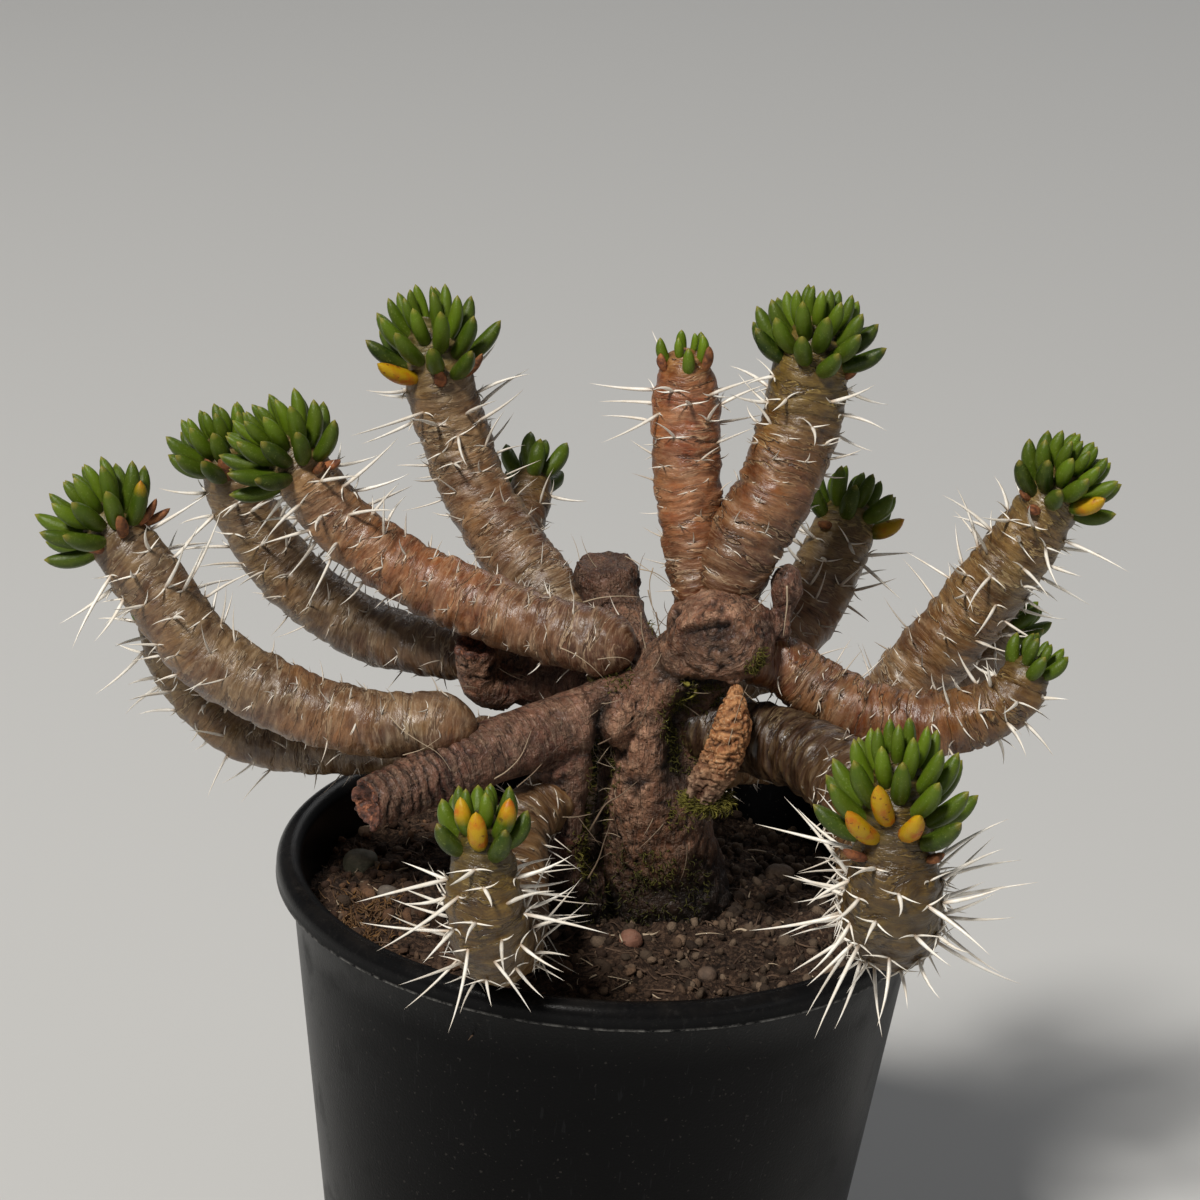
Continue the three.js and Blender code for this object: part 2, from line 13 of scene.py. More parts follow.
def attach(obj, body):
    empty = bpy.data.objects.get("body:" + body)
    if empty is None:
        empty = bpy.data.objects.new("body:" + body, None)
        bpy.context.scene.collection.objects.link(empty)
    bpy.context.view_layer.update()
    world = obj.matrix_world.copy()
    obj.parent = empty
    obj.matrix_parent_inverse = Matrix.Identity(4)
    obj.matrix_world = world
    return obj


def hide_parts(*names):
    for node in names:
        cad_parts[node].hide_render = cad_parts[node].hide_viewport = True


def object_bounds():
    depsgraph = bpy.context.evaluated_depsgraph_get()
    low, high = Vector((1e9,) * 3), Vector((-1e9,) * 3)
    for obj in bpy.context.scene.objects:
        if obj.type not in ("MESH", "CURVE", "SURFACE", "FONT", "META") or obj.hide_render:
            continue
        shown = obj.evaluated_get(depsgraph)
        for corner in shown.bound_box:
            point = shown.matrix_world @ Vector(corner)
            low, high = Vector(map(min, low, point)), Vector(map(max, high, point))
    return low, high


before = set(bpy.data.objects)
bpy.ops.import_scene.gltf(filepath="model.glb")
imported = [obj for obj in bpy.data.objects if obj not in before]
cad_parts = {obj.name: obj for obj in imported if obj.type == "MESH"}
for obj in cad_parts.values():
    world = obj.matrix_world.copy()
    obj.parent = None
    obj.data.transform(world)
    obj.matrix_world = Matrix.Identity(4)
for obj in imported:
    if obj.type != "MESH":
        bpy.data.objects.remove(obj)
cad_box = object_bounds()

MM = 0.001
TURN = 2 * math.pi
ANY_ROLL = 6.28  # a full turn, for random rolls
GOLDEN_ANGLE = math.pi * (3 - math.sqrt(5))
UP = Vector((0, 1, 0))  # the way a leaf or growing tip is built before it is turned


# ---------- the plant's plan, as the solids have it

@dataclass
class Stem:
    path: list  # stations along the centreline: x, y, z, radius
    leaves: int
    leaf: float  # leaf length
    crown: float  # height of the growing tip
    lean: float  # lean of the lowest leaf, radians
    warm: float = 0.3  # 0 is pale tan bark, 1 is orange bark
    olive: float = 0.3  # how green the young end is
    gloom: float = 0.4  # how dark the old end is: its own darker bark, and painted shade where a base lies in shade
    spines: tuple = (5, 12)  # length of the long spine at the base and at the tip
    folds: float = 0.16  # depth of the rings, mm
    bumps: float = 0.35  # height of the swelling under each spine cushion, mm
    crowd: float = 25  # skin area to one areole, mm2
    shade: float = 0.4  # how much darker than the palest stems
    bald: float = 0.0  # share of the stem, from its base, without spines
    round_base: float = 0  # how drawn out the rounded end at the start is, 0 for none
    dark_spot: tuple = ()  # place of a dark scar on the skin
    ripe: tuple = ()  # places of leaves that have turned yellow, and how far down from the tip
    dried: tuple = ()  # tips of dried leaves
    name: str = field(default="", init=False)
    number: int = field(default=0, init=False)
    line: object = field(default=None, init=False)  # its Centreline


STEMS = {
    "far_left": Stem(
        [(-24, -20, 137.2, 4.8), (-30.4, -20, 137, 5.6), (-43.5, -20, 136.6, 5.7), (-59.3, -19, 140, 6),
         (-72.8, -17, 147, 6.1), (-81.9, -15, 158.1, 5.9), (-87.4, -14, 164.4, 5.3)],
        leaves=22, leaf=10, crown=9, lean=1.3, warm=0.2, olive=0.1, gloom=0.1, spines=(5, 15),
        folds=0.14, round_base=1.7,
        ripe=[(-80, -17, 176, 0.5)],
        dried=[(-86.6, -21, 171.5), (-93, -20, 166.3), (-79.4, -15, 175.5), (-78.5, -13, 171)],
    ),
    "far_left_low": Stem(
        [(-8, -4, 129, 4.6), (-24, 0, 125.6, 4.6), (-40, 1, 123, 4.6), (-54.9, 2, 121.5, 4.7),
         (-67, 3.5, 122.6, 4.7), (-75.6, 5, 128.6, 4.7), (-81, 6, 136.4, 4.6), (-83.2, 7, 142, 4.1)],
        leaves=7, leaf=4.6, crown=3, lean=0.3, warm=0, gloom=0.5, shade=0.45, spines=(7, 11),
        folds=0.12, bumps=0.25, dark_spot=(-80.3, 0, 135.9),
    ),
    "left_back": Stem(
        [(-20, 11, 137.6, 4.6), (-35, 18, 136.4, 5.2), (-49, 24, 137.6, 5.7), (-61.4, 27, 144.8, 5.9),
         (-69.5, 28, 155, 5.8), (-73.3, 28, 163.6, 5.4)],
        leaves=19, leaf=9.2, crown=9, lean=1.05, warm=0, olive=0.25, gloom=0.5, shade=0.35,
        spines=(6, 14), folds=0.14, dark_spot=(-62.1, 22, 144.5),
        dried=[(-75, 21, 169.5), (-79, 21, 171)],
    ),
    "left_middle": Stem(
        [(2.5, -8, 148.6, 5), (-3.8, -6, 148.7, 5.8), (-13.6, -3, 149.7, 5.8), (-27.3, 1, 152.4, 5.8),
         (-40.2, 4, 156.8, 5.7), (-50.8, 6, 163.4, 5.6), (-58, 6, 172, 5.4)],
        leaves=25, leaf=10, crown=10.5, lean=1.3, warm=0.62, olive=0.05, gloom=0.75, shade=0.1,
        spines=(4.5, 14), folds=0.2, bumps=0.45, round_base=1.0,
        dried=[(-54.5, 0, 176.5), (-51.2, 1, 176.8)],
    ),
    "upper_left": Stem(
        [(-6, 8, 142, 5.6), (-12.8, 14, 148.8, 6), (-20.8, 20, 155.8, 6.4), (-28.3, 25, 165.2, 6.2),
         (-33.2, 28, 175.4, 6.3), (-36, 28, 184.5, 6.1)],
        leaves=22, leaf=10.8, crown=12.5, lean=1.2, olive=0.1, shade=0.3, spines=(4.5, 17), folds=0.2,
        ripe=[(-42.6, 22, 187.9, 1)],
        dried=[(-28, 24, 192), (-36, 20, 189)],
    ),
    "small_back": Stem(
        [(-24, 25, 157.5, 3.8), (-20.4, 30.5, 156, 4.1), (-19.4, 36, 157.6, 4),
         (-18.6, 40.5, 161.5, 3.7)],
        leaves=9, leaf=7.6, crown=5.5, lean=0.85, warm=0.2, olive=0.4, gloom=0.3, shade=0.6,
        spines=(6, 9),
    ),
    "upright_thin": Stem(
        [(14, -2, 155, 4.6), (11.6, 0, 166, 5.4), (9.4, 2, 179, 5.9), (8.4, 4, 191, 5.7),
         (8, 4, 196.4, 4.6)],
        leaves=6, leaf=5, crown=4.2, lean=0.4, warm=1, olive=0, gloom=0.65, shade=0.05, spines=(5, 13),
        folds=0.27,
        dried=[(11.6, 1, 202), (3.5, 2, 199.5)],
    ),
    "upright_thick": Stem(
        [(17.2, -1.5, 156, 5.8), (19.6, -2.5, 166.5, 6.6), (24.8, 0, 176.6, 6.7), (28.4, 3, 187.5, 6.9),
         (29.4, 4, 197.3, 6.7)],
        leaves=26, leaf=9.2, crown=11, lean=1.25, warm=0.7, olive=0.85, gloom=0.5, shade=0.5,
        spines=(5, 10), folds=0.3, bumps=0.45, dark_spot=(32, -3, 189.3),
        dried=[(37.6, 2, 200)],
    ),
    "right_behind": Stem(
        [(13, 3, 139, 5.4), (25, 13, 139.6, 5.6), (32.4, 22, 143.8, 5.8), (36.8, 28, 151.2, 6.1),
         (39.8, 32, 159.2, 5.9)],
        leaves=15, leaf=8, crown=8, lean=1.1, olive=0.4, gloom=0.1, shade=0.1, spines=(6, 12),
        ripe=[(46.4, 28, 161.9, 0.85)],
        dried=[(35, 26, 163)],
    ),
    "far_right": Stem(
        [(12, -2, 126, 5.8), (30, 7, 126, 6), (48.4, 13, 131.6, 6.6), (54.1, 13, 138.7, 6.9),
         (61.8, 11, 151.7, 6.5), (69.4, 9, 165.4, 6.1), (74, 8, 174.8, 5.4)],
        leaves=23, leaf=8.6, crown=9.5, lean=1.2, warm=0.35, olive=0.55, gloom=0.1, shade=0.35,
        spines=(7, 13), folds=0.2, bumps=0.45,
        ripe=[(81.5, 4, 177.4, 0.8)],
        dried=[(69, 5, 178.5), (71, 3, 176)],
    ),
    "far_right_low": Stem(
        [(45, 14, 130, 4.6), (58.4, 24, 133, 4.8), (66, 27, 137.4, 4.7), (71, 28, 143.6, 4.1)],
        leaves=8, leaf=6.6, crown=4.5, lean=0.8, olive=0.4, gloom=0.3, shade=0.6, spines=(7, 10),
    ),
    "right_front": Stem(
        [(23, -4, 146.6, 4.4), (28.4, -3, 146, 5.1), (34.4, -4, 142.4, 5.5), (44, -7, 138.9, 5.8),
         (55.2, -9, 138.7, 5.8), (64.4, -9, 141.4, 5.4), (69.4, -8.6, 145, 4.8), (71, -8, 148.2, 4.2)],
        leaves=9, leaf=6, crown=4.5, lean=0.7, warm=0.85, olive=0.5, gloom=0.2, shade=0.65,
        spines=(6, 9), folds=0.28,
    ),
    "front_right": Stem(
        [(12, -1, 132.6, 5.6), (24, -6.6, 133, 6.2), (33, -14, 133.6, 6.4), (40.6, -27, 134, 6.7),
         (44, -43, 132.8, 7), (45, -60, 130.6, 7.3), (45, -73, 130.8, 7.6), (44.4, -81, 136, 7.5),
         (43.7, -83.4, 142, 7), (43.5, -83, 146.6, 6.4)],
        leaves=29, leaf=10.2, crown=17, lean=1.25, warm=0.35, olive=1, gloom=1.4, bald=0.32, shade=0.95,
        spines=(5, 16), folds=0.25, bumps=0.55, crowd=18,
        ripe=[(38.2, -90, 155.9, 1), (44.6, -92, 157.2, 1), (40.9, -92, 152.5, 1)],
        dried=[(50.5, -88, 149.5), (35, -89, 149.5)],
    ),
    "front_left": Stem(
        [(-9, -11, 122, 4.6), (-15.5, -20, 118.6, 5.2), (-16, -30, 114.6, 5.5), (-15.4, -42, 112, 5.9),
         (-16.4, -54, 112.8, 6.3), (-18, -62.4, 117.6, 6.4), (-19.6, -66.4, 125.6, 5.8),
         (-20.3, -65.4, 133.2, 5)],
        leaves=14, leaf=7.8, crown=8, lean=0.9, warm=0.15, olive=1, gloom=0.15, shade=0.8,
        spines=(9, 15), folds=0.18, bumps=0.55, crowd=18,
        ripe=[(-24.2, -71, 140.3, 0.95), (-27.6, -68, 141.8, 0.7), (-15.6, -66, 142.7, 0.65)],
    ),
}

TRUNK_LIMBS = {
    "column": [(11, 5, 78, 12), (10.8, 3, 95.5, 12.4), (8.6, -1, 109, 11), (6.9, -4, 122, 9.8),
               (6, -5, 134, 8.4), (5.4, -5, 145, 6.4)],
    "left_branch": [(4, -4, 139, 7), (-1, -9, 137.4, 6.4), (-7.2, -11, 135.4, 5.9),
                    (-16.6, -16, 133, 5.8), (-26.6, -22, 130.4, 5.6), (-36.4, -28, 127.6, 5),
                    (-42, -32, 126.3, 4.6)],
    "side_root": [(-6, -9, 137, 5.2), (-8.7, -11, 131, 5.6), (-8.6, -12, 120.7, 5),
                  (-7.3, -11, 110.6, 4.9), (-5.3, -8, 101.5, 5.6), (-3, -4, 86, 7)],
    "back_branch": [(5, 0, 137, 7), (-6, 6, 137, 6.2), (-16, 9, 136, 5.6), (-25, 12, 136, 5)],
    "knob_neck": [(6, -4, 136, 7.5), (11, -6, 144, 7.8), (17.2, -7, 150, 7)],
    "top_neck": [(4, -3, 139, 7), (0, 5, 147, 5.2), (-3, 11, 153, 4.6)],
    "dead_peg": [(-20, 8, 133, 4.2), (-24.6, 5, 136, 4.2), (-25.8, 1.5, 144.4, 3.9)],
    "nub": [(-15, 7, 137, 2), (-15.4, 4.5, 142.8, 1.7)],
    "bud": [(24, -6, 151.5, 2.8), (28, -5, 156.5, 3.2), (28.3, -4, 163, 2.6)],
}
KNOBS = [((17.2, -8, 152.2), (9.7, 9.2, 8.8)), ((-3.4, 12, 154), (6.2, 6, 5.9))]
BUDS = [((28.2, -4.3, 160.6), (2.9, 2.9, 4.5)), ((27.4, -6, 153.6), (2.2, 2.2, 2.2))]
DRIED_BRANCHLET = [(20.4, -13.8, 145.5, 2.4), (20.2, -16.6, 141, 3.2), (19.6, -18, 136.5, 3.7),
                   (18.4, -18, 130.5, 3.6), (17.2, -17.4, 125.2, 2.4)]
# Pebbles: place on the soil, radii, dark and light tone
PEBBLES = {
    "pebble_green": ((-45.5, 11), (3.4, 3, 2.6), (0.050, 0.048, 0.032), (0.125, 0.118, 0.080)),
    "pebble_grey": ((-39.5, -1), (2.1, 2, 1.7), (0.085, 0.070, 0.058), (0.19, 0.160, 0.130)),
    "pebble_pink": ((5.2, -17.5), (2.3, 2.1, 1.9), (0.15, 0.060, 0.038), (0.27, 0.130, 0.085)),
    "pebble_tan": ((33, 17), (2.9, 2.5, 2), (0.085, 0.055, 0.036), (0.17, 0.115, 0.078)),
    "pebble_brown": ((19, -27), (1.9, 1.7, 1.5), (0.055, 0.034, 0.023), (0.125, 0.080, 0.054)),
}
POT_HEIGHT, RIM_RADIUS, RIM_WIDTH, RIM_DEPTH, RIM_RISE = 105, 60, 4.8, 4.5, 2.5
WALL_TOP, FOOT_RADIUS, WALL, FLOOR = 57.2, 45, 1.6, 2
DRAIN_HOLES, DRAIN_RADIUS, DRAIN_CIRCLE = 8, 4, 33
SOIL_EDGE, SOIL_MOUND = 93.5, 3
SOIL_RIM, SOIL_FOOT = 54.6, (43, 2.4)  # outer radius of its top; radius and height of its underside

# Mossy places on the wood: centre, reach, number of shoots and how fresh they are
MOSS_SPOTS = [
    ((13, -11, 120), 4, 60, 0.5), ((13, -9, 138), 7, 230, 0.3), ((14, -9, 130), 5, 120, 0.15),
    ((-2.9, -12, 110), 4, 130, 0.6), ((-5, -12, 114), 5, 130, 0.4), ((8.7, -11, 108.8), 4, 60, 0.35),
    ((2, -9, 104), 10, 260, 0), ((22, -13, 151), 3, 90, 0.45), ((23, -11, 154), 2.5, 40, 0.4),
    ((9, 3, 146), 6, 60, 0.4), ((-2.5, -8, 137), 4, 70, 0.3), ((12, -9, 103), 8, 150, 0),
    ((-3.2, -9, 127), 6, 170, 0.25), ((-3, -9, 118), 5, 120, 0.3), ((-1, -9, 143), 4, 70, 0.3),
]
# Places with rootlets: centre, reach and number
HAIR_SPOTS = [
    ((-3.4, 12, 154), 8, 9), ((6, 3, 147), 7, 12), ((17, -8, 152), 11, 10), ((-2.5, -9, 136), 6, 12),
    ((-1, -10, 118), 9, 14), ((-24, 4, 138), 7, 5), ((6, -12, 112), 9, 6), ((9, -9, 143), 5, 6),
    ((-3, -9, 127), 7, 20),
]
# Thin roots and dry spines that lie about the wood: stations along each, thickness and paleness
THIN_ROOTS = [
    ([(-2.9, -14.6, 132.9), (-0.6, -15, 134.6), (1.6, -14.8, 136.7), (3.7, -14, 138.5),
      (5.7, -13.4, 140.9)], 0.2, 0.1),
    ([(-3.4, -15, 116.3), (-2.4, -15.5, 118.9), (-0.8, -15.5, 122.1), (1.6, -15.2, 123.8),
      (4.4, -14.4, 126.3)], 0.3, 0.2),
    ([(-3.1, -15.6, 107.4), (-1.5, -16, 111.4), (-0.7, -16, 115), (0.2, -15.4, 118.3)], 0.25, 0.2),
    ([(2.4, 2, 160.1), (5.1, 2, 159.6), (7.6, 2, 158), (9.9, 2, 155.7)], 0.16, 0.9),
    ([(-7.2, 4, 152.4), (-4.3, 3, 153.8), (-0.8, 3, 154.4), (2.8, 4, 154.1)], 0.24, 0.8),
    ([(4.1, 0, 157), (4.8, 0, 154.6), (5.6, 0, 152.9), (6.6, 0, 151.1)], 0.18, 0.8),
    ([(4.7, 0, 161.2), (4.3, 0, 158.9), (4.5, 0, 156.6), (5.6, -1, 152)], 0.14, 0.9),
    ([(5.7, -4, 154.4), (6.5, -4.4, 151.1), (7.1, -5, 147.7), (7.1, -7, 144.7)], 0.2, 0.3),
    ([(3.1, -4, 154.2), (3.5, -4, 150.5), (4.6, -6, 147.2), (5, -9, 144)], 0.15, 0.7),
    ([(-10.6, -14.4, 150.5), (-8, -14.8, 149.6), (-5.2, -14.6, 147.7),
      (-2.6, -13.6, 144.9)], 0.17, 0.9),
    ([(-4, -13.6, 148.5), (-1, -13.6, 149.1), (0.9, -13, 148.7), (2.2, -12, 147.4)], 0.13, 0.8),
    ([(-38.9, -26.6, 140.7), (-36.4, -27.6, 138.6), (-33.2, -28, 136.7), (-29.9, -28, 134.7),
      (-27.2, -28, 131)], 0.17, 0.8),
    ([(-36.2, -27, 133.7), (-32.8, -27.4, 135.3), (-29.8, -26.8, 137.5)], 0.15, 0.8),
    ([(-20.4, -24.6, 129.4), (-18.1, -24, 131), (-16, -22.6, 133.4), (-14.6, -20.8, 137.3)], 0.17, 0.8),
    ([(-16.5, -22, 127), (-13.8, -20.6, 129.3), (-11.4, -19, 132.1), (-9.5, -18, 135.6),
      (-9.7, -17, 139)], 0.15, 0.3),
    ([(-10.9, -19, 120.5), (-8.6, -18.4, 120.3), (-6, -18, 120.3), (-3.1, -17, 120.7)], 0.24, 0.4),
    ([(28, -8.4, 162.5), (28.3, -8.6, 159.2), (28.2, -8.8, 156.2), (28.1, -8.8, 153.2)], 0.26, 0.9),
    ([(23.1, -5, 158.3), (24.3, -6, 160.3), (25.5, -6.4, 160.9)], 0.14, 0),
    ([(19.5, -22, 137.6), (20.4, -20, 141.4), (21.4, -17, 144.3), (22.3, -15, 146.2)], 0.12, 0.6),
    ([(-0.3, 5, 161.3), (2.4, 4, 160.3), (5.2, 3, 158.8), (8.4, 3, 156.6)], 0.13, 0.9),
]
# The seedling in the hollow beside the knob: root, way it points, length
SEEDLING_LEAVES = [
    ((10.9, -10, 143.9), (0.05, -0.6, -1), 3.4), ((10.9, -10, 144), (1, -0.5, 0.15), 3),
    ((11.6, -10.4, 143.6), (0.7, -0.5, -0.6), 2), ((10.7, -10, 144), (-0.5, -0.5, 0.5), 1.6),
]
# Brown moss by the wall: centre, spread and number of shoots
BROWN_MOSS = ((-43, -13), (3.5, 8), 420)
# Shoots on the foot of the dried branchlet: number, spread about its end and shift
FOOT_MOSS = (600, (3.9, 2.6, 1.5), (-0.2, 0.4, -0.6))


# ---------- numbers that vary, all of them repeatable

def draw(i, k):
    """A repeatable number from 0 to 1 for item i and purpose k, the same one the solids use."""
    s = math.sin(i * 12.9898 + k * 78.233) * 43758.5453
    return s - math.floor(s)


def lerp(a, b, t):
    return a + (b - a) * t


def smooth(low, high, value):
    t = np.clip((value - low) / (high - low), 0, 1)
    return t * t * (3 - 2 * t)


SCATTER = (73856093, 19349663, 83492791, 265443576)  # large numbers that mix up whole ones


def noise(points, seed=0):
    """Smooth noise from -1 to 1 at rows of x, y, z, with a new value at every whole number."""
    cell = np.floor(points).astype(np.int64)
    part = points - cell
    part = part * part * (3 - 2 * part)
    total = np.zeros(len(points))
    for corner in np.ndindex(2, 2, 2):
        i, j, k = (cell + corner).T * np.array(SCATTER[:3])[:, None]
        code = i ^ j ^ k ^ (seed * SCATTER[3])
        code = (code ^ (code >> 13)) * 1274126177
        code = (code ^ (code >> 16)) & 0xFFFF
        weight = np.prod(np.where(corner, part, 1 - part), axis=1)
        total += weight * (code / 32767.5 - 1)
    return total


def layered(points, seed=0, layers=3):
    """Noise with finer and fainter copies of itself."""
    return sum(noise(points * 2.03 ** n, seed + 17 * n) * 0.5 ** n for n in range(layers)) / 1.6


# ---------- limbs

class Centreline:
    """A smooth line through the stations, with its radius and a frame that doesn't twist.

    Places along it are lengths s from its start, in millimetres.
    """

    def __init__(self, stations, samples=240):
        p = np.array(stations, float)
        p = np.vstack([2 * p[0] - p[1], p, 2 * p[-1] - p[-2]])
        spans = len(stations) - 1
        t = np.linspace(0, spans, samples)
        i = np.minimum(t.astype(int), spans - 1)
        w = (t - i)[:, None]
        a, b, c, d = p[i], p[i + 1], p[i + 2], p[i + 3]
        into, out = (c - a) / 2, (d - b) / 2
        row = (2 * w**3 - 3 * w**2 + 1) * b + (w**3 - 2 * w**2 + w) * into
        row += (3 * w**2 - 2 * w**3) * c + (w**3 - w**2) * out
        self.rows = row
        walked = np.linalg.norm(np.diff(row[:, :3], axis=0), axis=1)
        self.at = np.concatenate([[0], np.cumsum(walked)])
        self.length = self.at[-1]
        tangent = np.gradient(row[:, :3], self.at, axis=0)
        tangent /= np.linalg.norm(tangent, axis=1)[:, None]
        normal = np.zeros_like(tangent)
        start = np.cross(tangent[0], (0.13, 0.97, 0.2))
        normal[0] = start / np.linalg.norm(start)
        for n in range(1, samples):
            turned = normal[n - 1] - tangent[n] * (normal[n - 1] @ tangent[n])
            normal[n] = turned / np.linalg.norm(turned)
        self.tangent, self.normal = tangent, normal
        self.binormal = np.cross(tangent, normal)

    def sample(self, table, s):
        s = np.atleast_1d(s)
        return np.stack([np.interp(s, self.at, column) for column in table.T], axis=1)

    def point(self, s):
        """Points at s; past the end they go straight on."""
        past = np.clip(np.atleast_1d(s) - self.length, 0, None)[:, None]
        return self.sample(self.rows[:, :3], s) + past * self.tangent[-1]

    def radius(self, s):
        return np.interp(s, self.at, self.rows[:, 3])

    def direction(self, s):
        found = self.sample(self.tangent, s)
        return found / np.linalg.norm(found, axis=1)[:, None]

    def end(self):
        """The last point, and the direction there."""
        return self.point(self.length)[0], self.direction(self.length)[0]

    def outwards(self, s, angle):
        """The ways from the line to its surface, at angles around it."""
        a, b = np.cos(angle)[:, None], np.sin(angle)[:, None]
        return self.sample(self.normal, s) * a + self.sample(self.binormal, s) * b


class Room:
    """The space that is taken, as capsules, so that leaves and spines keep clear of other pieces."""

    def __init__(self):
        self.rows, self.owners = [], []

    def add(self, owner, start, end, radius):
        self.rows.append((*start, *end, radius))
        self.owners.append(owner)

    def add_limb(self, owner, line, count=16):
        stops = np.linspace(0, line.length, count + 1)
        points = line.point(stops)
        for i in range(count):
            widest = max(line.radius(stops[i]), line.radius(stops[i + 1]))
            self.add(owner, points[i], points[i + 1], widest)

    def clear(self, owners, start, end, reach):
        """Whether a line keeps this far from the pot, the soil and what others than the owners take."""
        probes = np.linspace(start, end, 9)
        if not all(clear_of_pot(*probe) for probe in probes):
            return False
        rows = np.array(self.rows)
        others = ~np.isin(np.array(self.owners), owners)
        rows = rows[others]
        a, along = rows[:, :3], rows[:, 3:6] - rows[:, :3]
        size = np.maximum((along**2).sum(1), 1e-9)
        share = np.clip(((probes[:, None] - a) * along).sum(2) / size, 0, 1)
        nearest = a + share[..., None] * along
        away = np.linalg.norm(probes[:, None] - nearest, axis=2)
        return bool((away > rows[:, 6] + reach).all())


def clear_of_pot(x, y, z, gap=1):
    away = math.hypot(x, y)
    over_soil = away < RIM_RADIUS - RIM_WIDTH - gap and z > SOIL_EDGE + SOIL_MOUND + 2 * gap
    return over_soil or away > RIM_RADIUS + gap or z > POT_HEIGHT + gap


# ---------- meshes

def mark(mesh, key, values):
    """Stores a number or a vector for each point of a mesh, for its material to read."""
    values = np.asarray(values, np.float32)
    kind, part = ("FLOAT", "value") if values.ndim == 1 else ("FLOAT_VECTOR", "vector")
    mesh.attributes.new(key, kind, "POINT").data.foreach_set(part, values.ravel())


def linked(name, data):
    """A new object in the scene."""
    made = bpy.data.objects.new(name, data)
    bpy.context.collection.objects.link(made)
    return made


def object_of(name, points, faces=(), attributes=None):
    """A plain object from points in millimetres."""
    mesh = bpy.data.meshes.new(name)
    mesh.from_pydata((np.asarray(points, float) * MM).tolist(), [], [tuple(face) for face in faces])
    for key, values in (attributes or {}).items():
        mark(mesh, key, values)
    return linked(name, mesh)


def finish(piece, material, slot, replaces=()):
    """Gives a piece its material, and hides the solids it stands for; slot is not used."""
    piece.data.materials.clear()
    piece.data.materials.append(material)
    piece.data.shade_smooth()
    piece.data.update()
    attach(piece, "root")
    if replaces:
        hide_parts(*replaces)


def around(stops, sides):
    """Flat arrays of a grid around a limb or a lathed form: the stop along it, the angle around it."""
    turns = np.arange(sides) / sides * TURN
    return (grid.ravel() for grid in np.meshgrid(stops, turns, indexing="ij"))


def grid_faces(rows, sides):
    """Quads of a grid that closes around, rows along and sides across, faces outwards."""
    i, j = (grid.ravel() for grid in np.meshgrid(np.arange(rows - 1), np.arange(sides), indexing="ij"))
    k = (j + 1) % sides
    return np.stack([i * sides + j, i * sides + k, (i + 1) * sides + k, (i + 1) * sides + j], axis=1)


def ring_fan(start, sides, centre, flip):
    """Triangles from one ring of points to a centre point."""
    for j in range(sides):
        k = (j + 1) % sides
        yield (start + k, start + j, centre) if flip else (start + j, start + k, centre)


def closed_faces(rows, sides, downwards=False):
    """Faces of a closed form: its grid, and a fan at each end to the two points after the grid."""
    quads, end = grid_faces(rows, sides), rows * sides
    return [*(quads[:, ::-1] if downwards else quads), *ring_fan(0, sides, end, not downwards),
            *ring_fan(end - sides, sides, end + 1, downwards)]


def ball(rows, sides):
    """Points of a unit ball, ring by ring from its top, and then its two poles."""
    points = []
    for i in range(1, rows):
        polar = i / rows * math.pi
        for j in range(sides):
            angle, wide = j / sides * TURN, math.sin(polar)
            points.append((wide * math.cos(angle), wide * math.sin(angle), math.cos(polar)))
    return np.array(points + [(0, 0, 1), (0, 0, -1)])


def tube(line, s, angle, reach):
    """Points of a limb at a distance from its centreline; s and angle are flat arrays."""
    return line.point(s) + line.outwards(s, angle) * reach[:, None]


def capped(line, s, points):
    """A limb's grid points, and then the middle of each end."""
    return np.vstack([points, line.point(s[0]), line.point(s[-1])])


def joined(shapes):
    """Points and faces of several shapes as one list of each."""
    points, faces = [], []
    for shape, shape_faces in shapes:
        start = len(points)
        points.extend(shape)
        faces.extend(tuple(int(k) + start for k in face) for face in shape_faces)
    return points, faces


def evaluated(source, name):
    """The object with its modifiers worked out, as a new plain object."""
    graph = bpy.context.evaluated_depsgraph_get()
    mesh = bpy.data.meshes.new_from_object(source.evaluated_get(graph))
    bpy.data.objects.remove(source)
    return linked(name, mesh)


def vectors_of(items, part, kind):
    """A column of a mesh as an array with x, y and z in each row."""
    flat = np.zeros(len(items) * 3, kind)
    items.foreach_get(part, flat)
    return flat.reshape(-1, 3)


# ---------- node trees

def add(tree, kind, feeds=None, **settings):
    """Adds a node. feeds gives its inputs, by name or number: a value, a node or a socket."""
    node = tree.nodes.new(kind)
    for key, value in settings.items():
        setattr(node, key, value)
    for key, source in (feeds or {}).items():
        if isinstance(source, bpy.types.Node):
            source = source.outputs[0]
        if isinstance(source, bpy.types.NodeSocket):
            tree.links.new(source, node.inputs[key])
        else:
            node.inputs[key].default_value = source
    return node


def maths(tree, operation, *values):
    return add(tree, "ShaderNodeMath", dict(enumerate(values)), operation=operation)


def open_tree(name, kind, inputs, outputs):
    """A node group with named sockets: {name: (socket type, default)}."""
    tree = bpy.data.node_groups.new(name, kind)
    for key, (socket_type, default) in inputs.items():
        socket = tree.interface.new_socket(key, in_out="INPUT", socket_type=socket_type)
        if default is not None:
            socket.default_value = default
    for key, socket_type in outputs.items():
        tree.interface.new_socket(key, in_out="OUTPUT", socket_type=socket_type)
    return tree, tree.nodes.new("NodeGroupInput"), tree.nodes.new("NodeGroupOutput")


FLOAT, COLOUR, VECTOR = "NodeSocketFloat", "NodeSocketColor", "NodeSocketVector"
GEOMETRY, WHOLE, MATERIAL = "NodeSocketGeometry", "NodeSocketInt", "NodeSocketMaterial"


def mixed(tree, share, first, second, blend="MIX"):
    feeds = {0: share, 6: first, 7: second}
    return add(tree, "ShaderNodeMix", feeds, data_type="RGBA", blend_type=blend).outputs[2]


